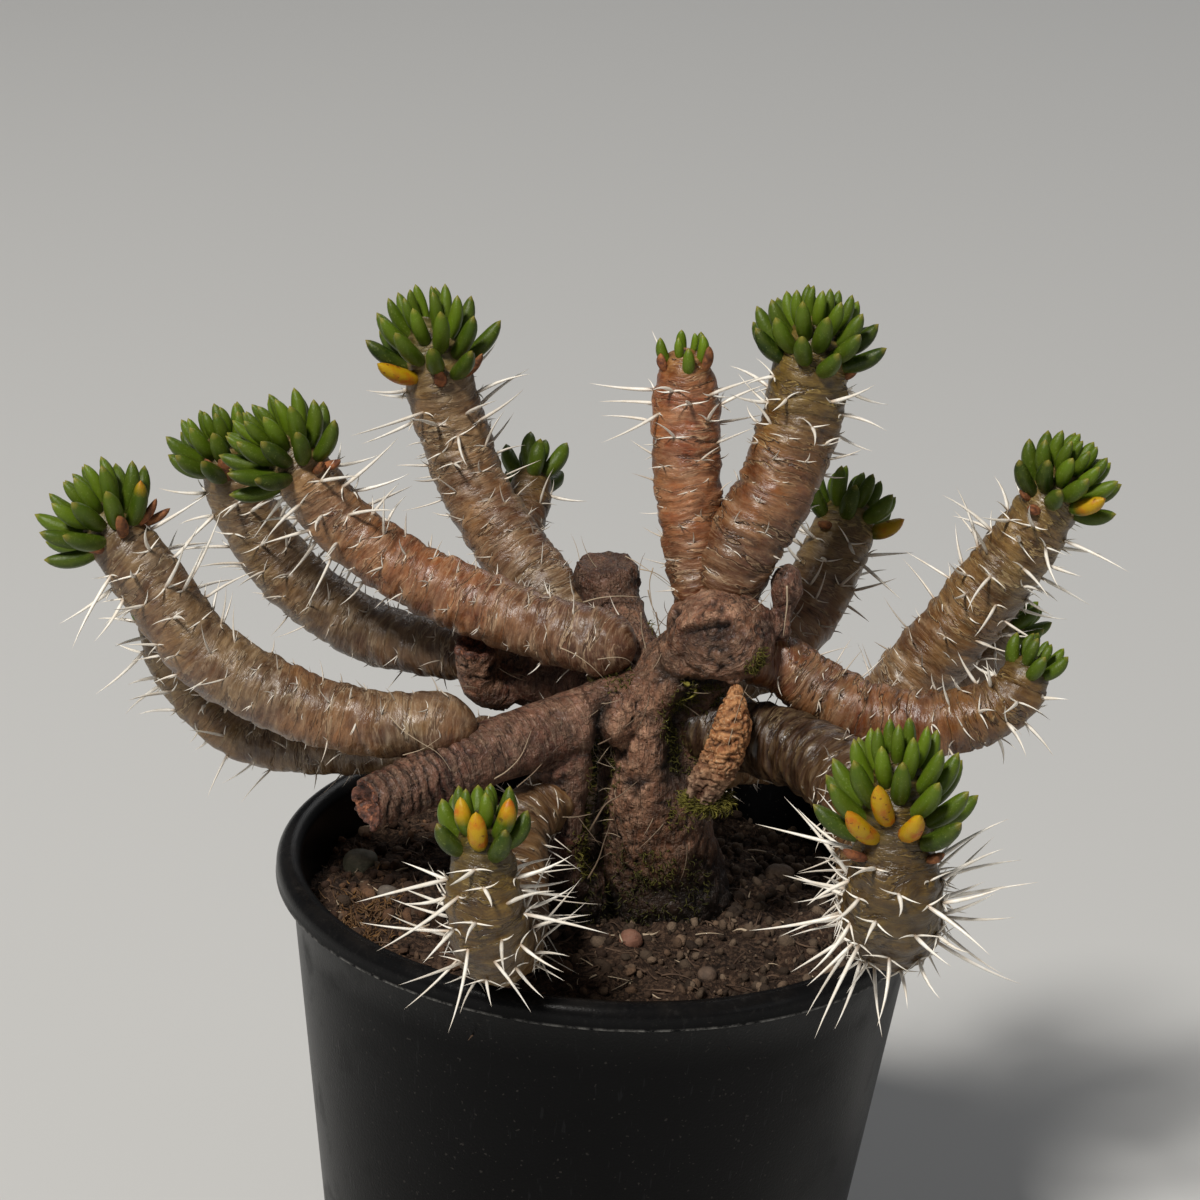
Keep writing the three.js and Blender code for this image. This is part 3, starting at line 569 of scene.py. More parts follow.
def ranged(tree, value, low, high, out_low=0.0, out_high=1.0):
    feeds = {0: value, 1: low, 2: high, 3: out_low, 4: out_high}
    return add(tree, "ShaderNodeMapRange", feeds).outputs[0]


def attribute(tree, name, output="Fac"):
    return add(tree, "ShaderNodeAttribute", attribute_name=name).outputs[output]


def mottle_group():
    """Noise on millimetre coordinates, with its contrast set."""
    tree, given, result = open_tree("Mottle", "ShaderNodeTree", {
        "Place": (VECTOR, None), "Size mm": (FLOAT, 1), "Detail": (FLOAT, 3),
        "Low": (FLOAT, 0.35), "High": (FLOAT, 0.65),
    }, {"Amount": FLOAT})
    scale = maths(tree, "DIVIDE", 1 / MM, given.outputs["Size mm"])
    spots = add(tree, "ShaderNodeTexNoise", {
        "Vector": given.outputs["Place"], "Scale": scale, "Detail": given.outputs["Detail"],
        "Roughness": 0.6,
    })
    contrast = ranged(tree, spots.outputs["Fac"], given.outputs["Low"], given.outputs["High"])
    tree.links.new(contrast, result.inputs["Amount"])


def ring_lines_group():
    """Thin wrinkles across the first axis of a place in metres, each with a raised edge beside it."""
    tree, given, result = open_tree("Ring lines", "ShaderNodeTree", {
        "Place": (VECTOR, None), "Size mm": (FLOAT, 1.5), "Across": (FLOAT, 0.15),
        "Width": (FLOAT, 0.03),
    }, {"Crease": FLOAT, "Edge": FLOAT, "Swell": FLOAT})
    across, width = given.outputs["Across"], given.outputs["Width"]
    factors = add(tree, "ShaderNodeCombineXYZ", {"X": 1.0, "Y": across, "Z": across})
    feeds = {0: given.outputs["Place"], 1: factors}
    drawn = add(tree, "ShaderNodeVectorMath", feeds, operation="MULTIPLY")
    scale = maths(tree, "DIVIDE", 1 / MM, given.outputs["Size mm"])
    feeds = {"Vector": drawn, "Scale": scale, "Detail": 4.0, "Roughness": 0.55}
    waves = add(tree, "ShaderNodeTexNoise", feeds).outputs["Fac"]
    edge_at = maths(tree, "MULTIPLY_ADD", width, 1.5, 0.5)
    for name, level in (("Crease", 0.5), ("Edge", edge_at)):
        off = maths(tree, "ABSOLUTE", maths(tree, "SUBTRACT", waves, level))
        tree.links.new(ranged(tree, off, width, 0.0), result.inputs[name])
    tree.links.new(ranged(tree, waves, 0.3, 0.7), result.inputs["Swell"])


def settled_dust_group():
    """Dust that lies on faces that look up, in patches."""
    tree, given, result = open_tree("Settled dust", "ShaderNodeTree", {
        "Base": (COLOUR, None), "Dust": (COLOUR, (0.3, 0.25, 0.2, 1)), "Amount": (FLOAT, 0.3),
        "Place": (VECTOR, None), "Size mm": (FLOAT, 3),
    }, {"Colour": COLOUR})
    normal = add(tree, "ShaderNodeNewGeometry").outputs["Normal"]
    upness = add(tree, "ShaderNodeSeparateXYZ", {0: normal}).outputs["Z"]
    lies = ranged(tree, upness, 0.1, 0.95)
    feeds = {key: given.outputs[key] for key in ("Place", "Size mm")}
    patches = add(tree, "ShaderNodeGroup", feeds, node_tree=bpy.data.node_groups["Mottle"])
    share = maths(tree, "MULTIPLY", maths(tree, "MULTIPLY", lies, patches), given.outputs["Amount"])
    covered = mixed(tree, share, given.outputs["Base"], given.outputs["Dust"])
    tree.links.new(covered, result.inputs["Colour"])


class Finish:
    """A material under construction: its tree, its shader and the colour laid so far."""

    def __init__(self, name, **constants):
        self.material = bpy.data.materials.new(name)
        self.material.use_nodes = True
        self.tree = self.material.node_tree
        self.shader = self.tree.nodes["Principled BSDF"]
        for key, value in constants.items():
            self.shader.inputs[key.replace("_", " ")].default_value = value
        self.place = add(self.tree, "ShaderNodeTexCoord").outputs["Object"]
        self.base = None

    def reads(self, *names):
        """The numbers that the mesh holds for each point, under these names."""
        return [attribute(self.tree, name) for name in names]

    def stretched(self, x, y, z, place=None):
        feeds = {"Vector": place or self.place, "Scale": (x, y, z)}
        return add(self.tree, "ShaderNodeMapping", feeds).outputs[0]

    def folded(self, operation, sockets):
        total = sockets[0]
        for socket in sockets[1:]:
            total = maths(self.tree, operation, total, socket).outputs[0]
        return total

    def times(self, *sockets):
        return self.folded("MULTIPLY", sockets)

    def sum(self, *sockets):
        return self.folded("ADD", sockets)

    def group(self, name, feeds):
        return add(self.tree, "ShaderNodeGroup", feeds, node_tree=bpy.data.node_groups[name]).outputs

    def mottle(self, size, low=0.35, high=0.65, detail=3.0, place=None):
        return self.group("Mottle", {
            "Place": place or self.place, "Size mm": size, "Low": low, "High": high, "Detail": detail,
        })[0]

    def rings(self, size, across, width, place):
        feeds = {"Place": place, "Size mm": size, "Across": across, "Width": width}
        return self.group("Ring lines", feeds)

    def mix(self, share, first, second, blend="MIX"):
        tones = [(*tone, 1) if isinstance(tone, tuple) else tone for tone in (first, second)]
        return mixed(self.tree, share, *tones, blend)

    def ground(self, share, first, second):
        """The first colour, from one tone to another."""
        self.base = self.mix(share, first, second)

    def coat(self, mask, strength, colour, cover=None, blend="MIX"):
        """Lays a colour over the base where a mask is; cover is how much of the base it hides."""
        share = mask if strength is None else self.times(mask, strength)
        if cover is not None:
            colour = self.mix(cover, self.base, colour)
        self.base = self.mix(share, self.base, colour, blend)

    def dusty(self, dust, amount, size):
        """Lays settled dust over the base, in patches of a size in millimetres."""
        self.base = self.group("Settled dust", {
            "Place": self.place, "Base": self.base, "Dust": (*dust, 1), "Amount": amount,
            "Size mm": size,
        })[0]

    def relief(self, height, distance_mm, strength=1.0):
        feeds = {"Height": height, "Distance": distance_mm * MM, "Strength": strength}
        self.feed("Normal", add(self.tree, "ShaderNodeBump", feeds).outputs[0])

    def feed(self, name, socket):
        self.tree.links.new(socket, self.shader.inputs[name])

    def done(self):
        self.feed("Base Color", self.base)
        return self.material


mottle_group()
ring_lines_group()
settled_dust_group()


# ---------- materials

def pot_plastic():
    made = Finish("Black nursery pot plastic", Roughness=0.36, Specular_IOR_Level=0.1)
    scuffs = made.mottle(9, 0.55, 0.75, 5)
    scratches = made.mottle(0.9, 0.66, 0.72, 2, made.stretched(1, 1, 0.06))
    rim, edge = made.reads("rim", "edge")
    made.ground(made.mottle(30), (0.0013, 0.0013, 0.0015), (0.0022, 0.0022, 0.0025))
    made.coat(scratches, None, (0.006, 0.006, 0.0065))
    made.coat(made.mottle(0.8, 0.71, 0.74, 1), None, (0.022, 0.020, 0.018))
    made.coat(rim, 0.7, (0.0062, 0.0062, 0.0066))
    made.coat(made.times(rim, made.mottle(1.2, 0.56, 0.8, 4)), 0.6, (0.022, 0.021, 0.020))
    made.coat(made.times(edge, made.mottle(1.4, 0.4, 0.6, 4)), 0.8, (0.17, 0.165, 0.155))
    made.dusty((0.06, 0.050, 0.042), 0.1, 4)
    dull = ranged(made.tree, scuffs, 0, 1, 0.33, 0.46)
    made.feed("Roughness", made.sum(dull, made.times(rim, -0.07)))
    made.relief(made.sum(made.mottle(0.5), scratches), 0.03, 0.5)
    return made.done()


def stem_skin():
    """Satin papery bark with rings and fine fibres around the stem, green near the growing end."""
    made = Finish("Papery stem skin", Roughness=0.4, Specular_IOR_Level=0.65)
    warm, olive, gloom, fold, felt, leafy, worn, shade, ringy = made.reads(
        "warm", "olive", "gloom", "fold", "felt", "leafy", "worn", "shade", "ringy")
    skin = attribute(made.tree, "skin_place", "Vector")
    patch = made.mottle(7, 0.4, 0.6)
    cloud = made.mottle(3, 0.38, 0.62, 4, made.stretched(1, 0.6, 0.6, skin))
    flake = made.mottle(1.5, 0.42, 0.62, 5, made.stretched(1, 0.5, 0.5, skin))
    wide, narrow = made.rings(2.8, 0.2, 0.015, skin), made.rings(1.2, 0.2, 0.02, skin)
    grain = made.mottle(0.6, 0.36, 0.62, 4, made.stretched(1, 0.15, 0.15, skin))
    fibre = made.mottle(0.4, 0.52, 0.64, 3, made.stretched(1, 0.1, 0.1, skin))
    grime = made.mottle(1.2, 0.58, 0.68, 4, made.stretched(1, 0.6, 0.6, skin))
    tan = made.mix(patch, (0.112, 0.048, 0.015), (0.30, 0.185, 0.082))
    orange = made.mix(patch, (0.25, 0.060, 0.010), (0.42, 0.160, 0.046))
    made.ground(warm, tan, orange)
    made.coat(olive, 0.8, made.mix(patch, (0.092, 0.048, 0.001), (0.20, 0.125, 0.006)))
    made.coat(leafy, None, made.mix(flake, (0.060, 0.060, 0.006), (0.15, 0.135, 0.020)))
    made.coat(cloud, 0.4, (0.58, 0.43, 0.29), 0.5)
    made.coat(flake, 0.3, (0.60, 0.45, 0.30), 0.45)
    made.coat(grime, 0.4, (0.085, 0.036, 0.016))
    made.coat(grain, 0.7, (0.55, 0.48, 0.41), blend="MULTIPLY")
    # Painted shade at the bases that lie in shade, over the old end's own darker bark
    made.coat(gloom, None, made.mix(flake, (0.030, 0.012, 0.007), (0.092, 0.043, 0.026)))
    made.coat(fibre, made.sum(0.22, made.times(worn, 0.5)), (0.66, 0.53, 0.38), 0.6)
    # Painted shade in the ring creases and painted highlights on their raised edges
    made.coat(narrow["Crease"], made.sum(0.12, made.times(ringy, 0.6)), (0.060, 0.026, 0.011))
    made.coat(made.times(narrow["Edge"], ringy), 0.4, (0.70, 0.56, 0.38), 0.6)
    made.coat(wide["Edge"], made.sum(0.2, made.times(ringy, 0.75)), (0.78, 0.66, 0.48), 0.7)
    made.coat(wide["Crease"], made.sum(0.25, made.times(ringy, 0.9)), (0.050, 0.021, 0.009))
    made.coat(felt, 0.55, (0.74, 0.62, 0.44), 0.6)
    made.coat(olive, 0.9, (0.90, 0.83, 0.30), blend="MULTIPLY")
    made.coat(warm, 0.7, (0.95, 0.70, 0.50), blend="MULTIPLY")
    # Painted shade in the ring folds and in the notch under each cushion; the dark scar is the skin's
    # own mark
    made.coat(fold, 0.75, (0.055, 0.022, 0.009))
    made.coat(shade, None, (0.40, 0.34, 0.23), blend="MULTIPLY")
    made.feed("Roughness", ranged(made.tree, flake, 0, 1, 0.33, 0.48))
    made.relief(made.sum(
        made.times(grain, -0.4), made.times(wide["Crease"], ringy, -1.2), made.times(flake, 0.5),
        made.times(wide["Edge"], ringy, 0.7), made.times(narrow["Swell"], ringy, 0.6),
        made.times(cloud, 0.7),
    ), 0.14)
    return made.done()


def leaf_skin():
    """Leaf green by age; ripe leaves turn from the tip down, dry ones are brown husks."""
    made = Finish("Plump leaf skin", Roughness=0.42, Specular_IOR_Level=0.3, Subsurface_Weight=0.08,
                  Subsurface_Radius=(0.0010, 0.0016, 0.0004), Subsurface_Scale=1.0)
    tree = made.tree
    along, tint, ripe, dry = made.reads("leaf_along", "tint", "ripe", "dry")
    made.ground(tint, (0.014, 0.031, 0.001), (0.128, 0.205, 0.007))
    made.coat(made.mottle(2.4, 0.38, 0.66), 0.35, (0.105, 0.130, 0.013))
    made.coat(ranged(tree, along, 0.9, 1.0, 0, 0.6), None, (0.36, 0.27, 0.05))
    made.coat(ranged(tree, along, 0.3, 0.0, 0, 0.5), None, (0.15, 0.17, 0.04))
    made.coat(made.mottle(0.35, 0.64, 0.72, 1), 0.28, (0.30, 0.36, 0.10))
    turned = made.mix(made.mottle(2.6, 0.46, 0.66), (0.47, 0.28, 0.006), (0.46, 0.13, 0.007))
    turned = made.mix(made.mottle(1.2, 0.62, 0.68), turned, (0.15, 0.028, 0.008))
    start = maths(tree, "MULTIPLY", maths(tree, "SUBTRACT", 1, ripe), 1.6)
    share = ranged(tree, maths(tree, "SUBTRACT", along, start), -0.05, 0.22)
    made.coat(share, maths(tree, "GREATER_THAN", ripe, 0.01), turned)
    made.coat(dry, None, made.mix(made.mottle(1.2), (0.10, 0.034, 0.020), (0.36, 0.13, 0.05)))
    made.feed("Roughness", ranged(tree, dry, 0, 1, 0.42, 0.75))
    made.relief(made.sum(made.mottle(0.8), made.times(made.mottle(0.2), 0.5)), 0.04, 0.6)
    return made.done()


def spine_ivory():
    made = Finish("Ivory spine", Roughness=0.34, Specular_IOR_Level=0.5)
    along, old = made.reads("spine_along", "old")
    made.ground(made.mottle(1.5), (0.86, 0.78, 0.66), (0.94, 0.91, 0.84))
    made.coat(old, 0.7, (0.42, 0.33, 0.24))
    made.coat(ranged(made.tree, along, 0.16, 0.0, 0, 0.8), None, (0.30, 0.18, 0.09))
    made.coat(ranged(made.tree, along, 0.9, 1.0, 0, 0.35), None, (0.45, 0.28, 0.12))
    return made.done()


def old_bark():
    """Fibrous brown bark, pale where it wears smooth and where light is painted on; broken ends are
    red; painted shade in the hollows, and the foot darker towards the soil.
    """
    made = Finish("Old trunk bark", Roughness=0.5, Specular_IOR_Level=0.45)
    crack, broken, damp, ruddy, worn = made.reads("crack", "broken", "damp", "ruddy", "worn")
    along = attribute(made.tree, "fibre_place", "Vector")
    patch, cloud = made.mottle(9, 0.42, 0.58), made.mottle(3.4, 0.4, 0.6, 4)
    flake = made.mottle(1.3, 0.5, 0.62, 5)
    fibre, thread = made.mottle(0.5, 0.5, 0.64, 3, along), made.mottle(0.7, 0.58, 0.68, 3, along)
    grain, pit = made.mottle(0.8, 0.38, 0.62, 5), made.mottle(1.6, 0.64, 0.69, 3)
    wrinkle = made.rings(3.4, 1.0, 0.009, along)
    made.ground(cloud, (0.080, 0.028, 0.013), (0.235, 0.108, 0.058))
    made.coat(ruddy, 0.8, made.mix(cloud, (0.045, 0.014, 0.010), (0.135, 0.051, 0.035)))
    # Pale wear, and painted light: the peg lightened where it lies in shade, and a painted highlight
    # along the branch's top
    made.coat(worn, 0.85, made.mix(cloud, (0.25, 0.104, 0.056), (0.53, 0.295, 0.185)))
    made.coat(patch, 0.4, (0.44, 0.27, 0.17), 0.45)
    made.coat(flake, 0.4, (0.50, 0.34, 0.22), 0.5)
    made.coat(fibre, 0.4, (0.58, 0.43, 0.31), 0.5)
    made.coat(grain, 0.6, (0.42, 0.36, 0.32), blend="MULTIPLY")
    made.coat(pit, 0.6, (0.020, 0.008, 0.005))
    made.coat(thread, 0.45, (0.030, 0.013, 0.008))
    # Painted shade in the wrinkles, the cracks, the branch's ring creases and the knob's gash
    made.coat(wrinkle["Crease"], 0.7, (0.018, 0.007, 0.005))
    made.coat(crack, None, (0.014, 0.006, 0.004))
    # Painted shade in the hollow, the groove, under the knob and below its gash; the foot darker
    # towards the soil
    made.coat(damp, None, made.mix(flake, (0.008, 0.005, 0.003), (0.042, 0.024, 0.016)))
    red = made.mix(grain, (0.15, 0.058, 0.036), (0.024, 0.009, 0.006))
    made.coat(broken, None, made.mix(flake, red, (0.34, 0.135, 0.070)))
    made.relief(made.sum(
        made.times(flake, 1.2), made.times(cloud, 1.6), made.times(fibre, 0.8),
        made.times(thread, -0.4), made.times(wrinkle["Crease"], patch, -1.2),
    ), 0.2)
    return made.done()


def dried_flakes():
    made = Finish("Dried orange scales", Roughness=0.7, Specular_IOR_Level=0.3)
    flake = made.mottle(1.4, 0.38, 0.62, 4)
    faded, fold = made.reads("faded", "fold")
    made.ground(flake, (0.24, 0.085, 0.027), (0.48, 0.23, 0.095))
    made.coat(made.mottle(0.5, 0.56, 0.66), None, (0.56, 0.36, 0.20))
    made.coat(faded, None, made.mix(flake, (0.105, 0.056, 0.035), (0.36, 0.235, 0.155)))
    # Painted shade in the folds between scales, in the gaps and in the splits
    made.coat(fold, None, (0.055, 0.020, 0.009))
    made.relief(flake, 0.15)
    return made.done()


def moss_green():
    made = Finish("Moss", Roughness=0.85, Specular_IOR_Level=0.2)
    made.ground(made.mottle(3), (0.018, 0.017, 0.005), (0.070, 0.064, 0.015))
    fresh = made.mix(made.mottle(1.2), (0.085, 0.074, 0.011), (0.27, 0.235, 0.045))
    made.coat(*made.reads("pale"), None, fresh)
    return made.done()


def root_brown():
    made = Finish("Rootlets", Roughness=0.75, Specular_IOR_Level=0.3)
    pale, ruddy = made.reads("pale", "ruddy")
    made.ground(made.mottle(4), (0.05, 0.028, 0.018), (0.13, 0.08, 0.05))
    made.coat(pale, None, (0.46, 0.36, 0.25))
    made.coat(ruddy, None, made.mix(made.mottle(2), (0.07, 0.028, 0.008), (0.24, 0.12, 0.035)))
    return made.done()


def soil_peat():
    made = Finish("Peat", Roughness=0.92, Specular_IOR_Level=0.2)
    made.ground(made.mottle(8), (0.014, 0.008, 0.005), (0.046, 0.026, 0.017))
    made.coat(made.mottle(0.9, 0.45, 0.62), None, (0.10, 0.060, 0.038))
    made.relief(made.mottle(0.5), 0.35)
    return made.done()


def grit_mixed():
    made = Finish("Grit", Roughness=0.85, Specular_IOR_Level=0.25)
    tint, ruddy = made.reads("tint", "ruddy")
    made.ground(tint, (0.024, 0.015, 0.009), (0.215, 0.150, 0.100))
    made.coat(ruddy, None, made.mix(tint, (0.034, 0.016, 0.009), (0.17, 0.088, 0.046)))
    made.coat(made.mottle(0.5, 0.4, 0.7), 0.5, (0.05, 0.032, 0.024))
    made.relief(made.mottle(0.3), 0.08)
    return made.done()


def pebble_stone(name, dark, light):
    made = Finish(name, Roughness=0.7, Specular_IOR_Level=0.35)
    made.ground(made.mottle(1.4, 0.3, 0.7, 4), dark, light)
    made.coat(made.mottle(0.35, 0.62, 0.72), None, tuple(0.45 * value for value in dark))
    made.dusty((0.20, 0.14, 0.10), 0.3, 1)
    made.relief(made.mottle(0.3), 0.05)
    return made.done()


# ---------- things that repeat

def on_points(tree, given, result, form, push=None):
    """Ends a tree: the form on every point, turned and grown by the point's own attributes."""
    turn, grow = (
        add(tree, "GeometryNodeInputNamedAttribute", {"Name": key}, data_type="FLOAT_VECTOR")
        for key in ("turn", "grow"))
    placed = add(tree, "GeometryNodeInstanceOnPoints", {
        "Points": given.outputs["Geometry"], "Instance": form, "Rotation": turn, "Scale": grow,
    })
    shape = add(tree, "GeometryNodeRealizeInstances", {"Geometry": placed})
    if push:
        shape = add(tree, "GeometryNodeSetPosition", {"Geometry": shape, "Offset": push})
    soft = add(tree, "GeometryNodeSetShadeSmooth", {"Geometry": shape})
    feeds = {"Geometry": soft, "Material": given.outputs["Material"]}
    dressed = add(tree, "GeometryNodeSetMaterial", feeds)
    tree.links.new(dressed.outputs[0], result.inputs[0])
    return tree


def form_tree(name, profile, sides, steps, bend, tag):
    """One tapered, bent form on every point.

    profile is the form's thickness along its length, tag the attribute that runs from root to tip.
    """
    tree, given, result = open_tree(name, "GeometryNodeTree", {
        "Geometry": (GEOMETRY, None), "Sides": (WHOLE, sides), "Steps": (WHOLE, steps),
        "Bend": (FLOAT, bend), "Material": (MATERIAL, None),
    }, {"Geometry": GEOMETRY})
    spine = add(tree, "GeometryNodeCurveQuadraticBezier", {
        "Resolution": given.outputs["Steps"],
        "Start": (0, 0, 0), "Middle": (0, 0, 0.5), "End": (0, 0, 1),
    })
    along = add(tree, "GeometryNodeSplineParameter").outputs["Factor"]
    curve = add(tree, "ShaderNodeFloatCurve", {"Value": along})
    shape = curve.mapping.curves[0].points
    shape[0].location, shape[-1].location = profile[0], profile[-1]
    for place in profile[1:-1]:
        shape.new(*place)
    curve.mapping.update()
    tagged = add(tree, "GeometryNodeStoreNamedAttribute", {
        "Geometry": spine, "Name": tag, "Value": along,
    }, data_type="FLOAT", domain="POINT")
    feeds = {"Resolution": given.outputs["Sides"], "Radius": 1.0}
    ring = add(tree, "GeometryNodeCurvePrimitiveCircle", feeds).outputs["Curve"]
    solid = add(tree, "GeometryNodeCurveToMesh", {
        "Curve": tagged, "Profile Curve": ring, "Scale": curve, "Fill Caps": True,
    })
    position = add(tree, "GeometryNodeInputPosition")
    height = add(tree, "ShaderNodeSeparateXYZ", {0: position}).outputs["Z"]
    arch = maths(tree, "MULTIPLY", height, maths(tree, "SUBTRACT", 1, height))
    arch = maths(tree, "MULTIPLY", maths(tree, "MULTIPLY", arch, 4), given.outputs["Bend"])
    sideways = add(tree, "ShaderNodeCombineXYZ", {"X": arch})
    bent = add(tree, "GeometryNodeSetPosition", {"Geometry": solid, "Offset": sideways})
    return on_points(tree, given, result, bent)


def grit_tree():
    """Small rounded stones on every point: a cube that is subdivided and pushed about."""
    tree, given, result = open_tree("Grit stones", "GeometryNodeTree", {
        "Geometry": (GEOMETRY, None), "Uneven": (FLOAT, 0.3), "Material": (MATERIAL, None),
    }, {"Geometry": GEOMETRY})
    block = add(tree, "GeometryNodeMeshCube", {"Size": (1.6, 1.6, 1.6)})
    stone = add(tree, "GeometryNodeSubdivisionSurface", {"Mesh": block, "Level": 1})
    position = add(tree, "GeometryNodeInputPosition")
    waves = add(tree, "ShaderNodeTexNoise", {"Vector": position, "Scale": 900.0, "Detail": 1.0})
    feeds = {0: waves.outputs["Color"], 1: (0.5, 0.5, 0.5)}
    centred = add(tree, "ShaderNodeVectorMath", feeds, operation="SUBTRACT")
    amount = maths(tree, "MULTIPLY", given.outputs["Uneven"], 3 * MM)
    offset = add(tree, "ShaderNodeVectorMath", {0: centred, "Scale": amount}, operation="SCALE")
    return on_points(tree, given, result, stone, offset)


def repeated(name, tree, places, slot, replaces=(), **inputs):
    """Runs a form tree on places: rows of point, turn, grow and named numbers."""
    columns = {key: [place[key] for place in places] for key in places[0]}
    source = object_of(name, columns.pop("at"), (), columns)
    modifier = source.modifiers.new(name, "NODES")
    modifier.node_group = tree
    for item in tree.interface.items_tree:
        if item.in_out == "INPUT" and item.name in inputs:
            modifier[item.identifier] = inputs[item.name]
    piece = evaluated(source, name)
    for key in ("turn", "grow"):
        if key in piece.data.attributes:
            piece.data.attributes.remove(piece.data.attributes[key])
    finish(piece, inputs["Material"], slot, replaces)


def turned_to(direction, roll):
    """The Euler turn that takes +Z to a direction, after a roll about it."""
    to = Vector(direction).to_track_quat("Z", "Y")
    return tuple((to @ Quaternion((0, 0, 1), roll)).to_euler())


def bent_turn(direction, inward):
    """A turn that takes +Z to a leaf's direction and its bend, +X, away from the shoot's axis."""
    z = Vector(direction).normalized()
    x = Vector(inward) - z * Vector(inward).dot(z)
    x = -x.normalized()
    return tuple(Matrix((x, z.cross(x), z)).transposed().to_euler())


def place_at(at, direction, roll, thickness, length, **numbers):
    return {
        "at": at, "turn": turned_to(direction, roll),
        "grow": (thickness * MM, thickness * MM, length * MM), **numbers,
    }


# ---------- stems

SKIN_SIDES, SKIN_STEP = 48, 0.38  # points around, and mm from row to row
LEAST_REACH = 0.02  # so that no point lies on the centreline
BASE_CAP = 0.95  # length of a rounded base, as a share of the stem's radius
TIP_WIDTH = 0.96  # of a growing tip, as a share of the stem's
FEW_LEAVES = 8  # with fewer the bark goes up to the tip
AREOLE_START, AREOLE_JITTER = 1.5, (1.6, 0.35)  # mm; mm along the stem and radians around it
# Of spines, at the base and at the tip of a stem: how many cushions bear them, girth and length
LONG_CHANCE, LONG_GIRTH = (0.55, 0.97), (0.15, 0.38)
SHORT_CHANCE, SHORT_GIRTH, SHORT_LENGTH = (0.75, 0.95), (0.12, 0.19), (2.2, 4.4)
SPINE_CUTS, SPINE_GAP, SPINE_DEPTH = (1, 0.6, 0.35), 0.3, 0.2  # shorter tries, clearance, root in skin
BOX_SLACK = 0.012  # how far a spine may pass the solids' box, as a share of it


def areoles(stem):
    """Places of the spine cushions: a spiral up the stem at an even density."""
    reach = stem.line.length - 2
    area = TURN * float(np.mean(stem.line.rows[:, 3])) * reach
    count = int(area / stem.crowd)
    i = np.arange(count)
    along, across = (np.array([draw(n, purpose) - 0.5 for n in i]) for purpose in (11, 12))
    s = AREOLE_START + (i + 0.5) / count * reach + along * AREOLE_JITTER[0]
    return s, (i * GOLDEN_ANGLE + stem.number + across * AREOLE_JITTER[1]) % TURN


def crown_outline(up):
    """Radius of a growing tip as a share of the stem's, by share of its height."""
    return np.interp(up, [0, 0.4, 0.8, 1], [1, 0.82, 0.5, 0])


def dome(stem, s):
    """How the skin closes over the growing tip, past the end of the stem's line."""
    up = np.clip((s - stem.line.length) / stem.crown, 0, 1)
    return 0.55 * np.sqrt(1 - up**1.7) + 0.45 * crown_outline(up)


def swell_at_areoles(stem, s, angle, radius, relief, fold, felt):
    """Adds the swelling, the notch and the felted lip of each spine cushion."""
    for at, turn in zip(*areoles(stem)):
        near = np.abs(s - at) < 4
        ahead = s[near] - at
        side = ((angle[near] - turn + math.pi) % TURN - math.pi) * radius[near]
        hump = np.exp(-(((ahead + 1.0) / 1.4) ** 2 + (side / 2.2) ** 2))
        notch = np.exp(-(((ahead - 0.6) / 0.5) ** 2 + (side / 1.6) ** 2))
        lip = np.exp(-(((ahead + 0.2 - 0.14 * side**2) / 0.32) ** 2 + (side / 1.7) ** 2))
        relief[near] += stem.bumps * (hump - 0.6 * notch + 0.3 * lip)
        # The notch is painted dark, as painted shade
        fold[near] = np.maximum(fold[near] * (1 - 0.6 * hump), 0.7 * notch)
        felt[near] = np.maximum(felt[near], 0.85 * lip)


def skin_reach(stem, s, angle):
    """How far the skin lies from the centreline, and the marks that its material reads."""
    line = stem.line
    closing = dome(stem, s)
    radius = line.radius(s) * closing
    place = tube(line, s, angle, radius)
    seed = stem.number * 7
    ring = np.stack([np.cos(angle), np.sin(angle)], axis=1)
    travel = s + noise(place / 6, seed) * 0.9 + noise(place / 1.9, seed + 1) * 0.22
    coarse = np.abs(noise(np.hstack([travel[:, None] / 1.5, ring * 0.95]), seed + 2))
    fine = noise(np.hstack([travel[:, None] / 0.6, ring * 1.2]), seed + 3)
    strength = np.clip(0.65 + 0.7 * noise(place / 4, seed + 4), 0.1, 1)
    if stem.round_base:
        rounding = smooth(0.5, 4.5 * stem.round_base, s)
        coarse, strength = 1 - (1 - coarse) * rounding, strength * rounding
    relief = 0.42 * layered(place / 5.5, seed + 5)
    relief += stem.folds * (1.7 * strength * (np.minimum(coarse * 3.2, 1) - 0.7) + 0.35 * fine)
    depth = min(1, 0.35 + 2 * stem.folds)
    # How dark the ring folds are painted, as painted shade
    fold = np.clip(1 - coarse * 7, 0, 1) * strength * depth
    felt = 0.6 * np.clip(1 - np.abs(coarse - 0.26) * 9, 0, 1) * strength * depth
    swell_at_areoles(stem, s, angle, radius, relief, fold, felt)
    if stem.dark_spot:
        away = np.linalg.norm(place - stem.dark_spot, axis=1)
        fold = np.maximum(fold, 1.3 * np.exp(-(away / 0.8) ** 4))
    reach = np.maximum(radius + relief * np.clip(2 * closing, 0, 1), LEAST_REACH)
    return reach, {
        "fold": fold, "felt": felt, "ringy": strength * min(1, 0.15 + 3 * stem.folds),
        "skin_place": np.stack([travel, radius * ring[:, 0], radius * ring[:, 1]], axis=1) * MM,
    }


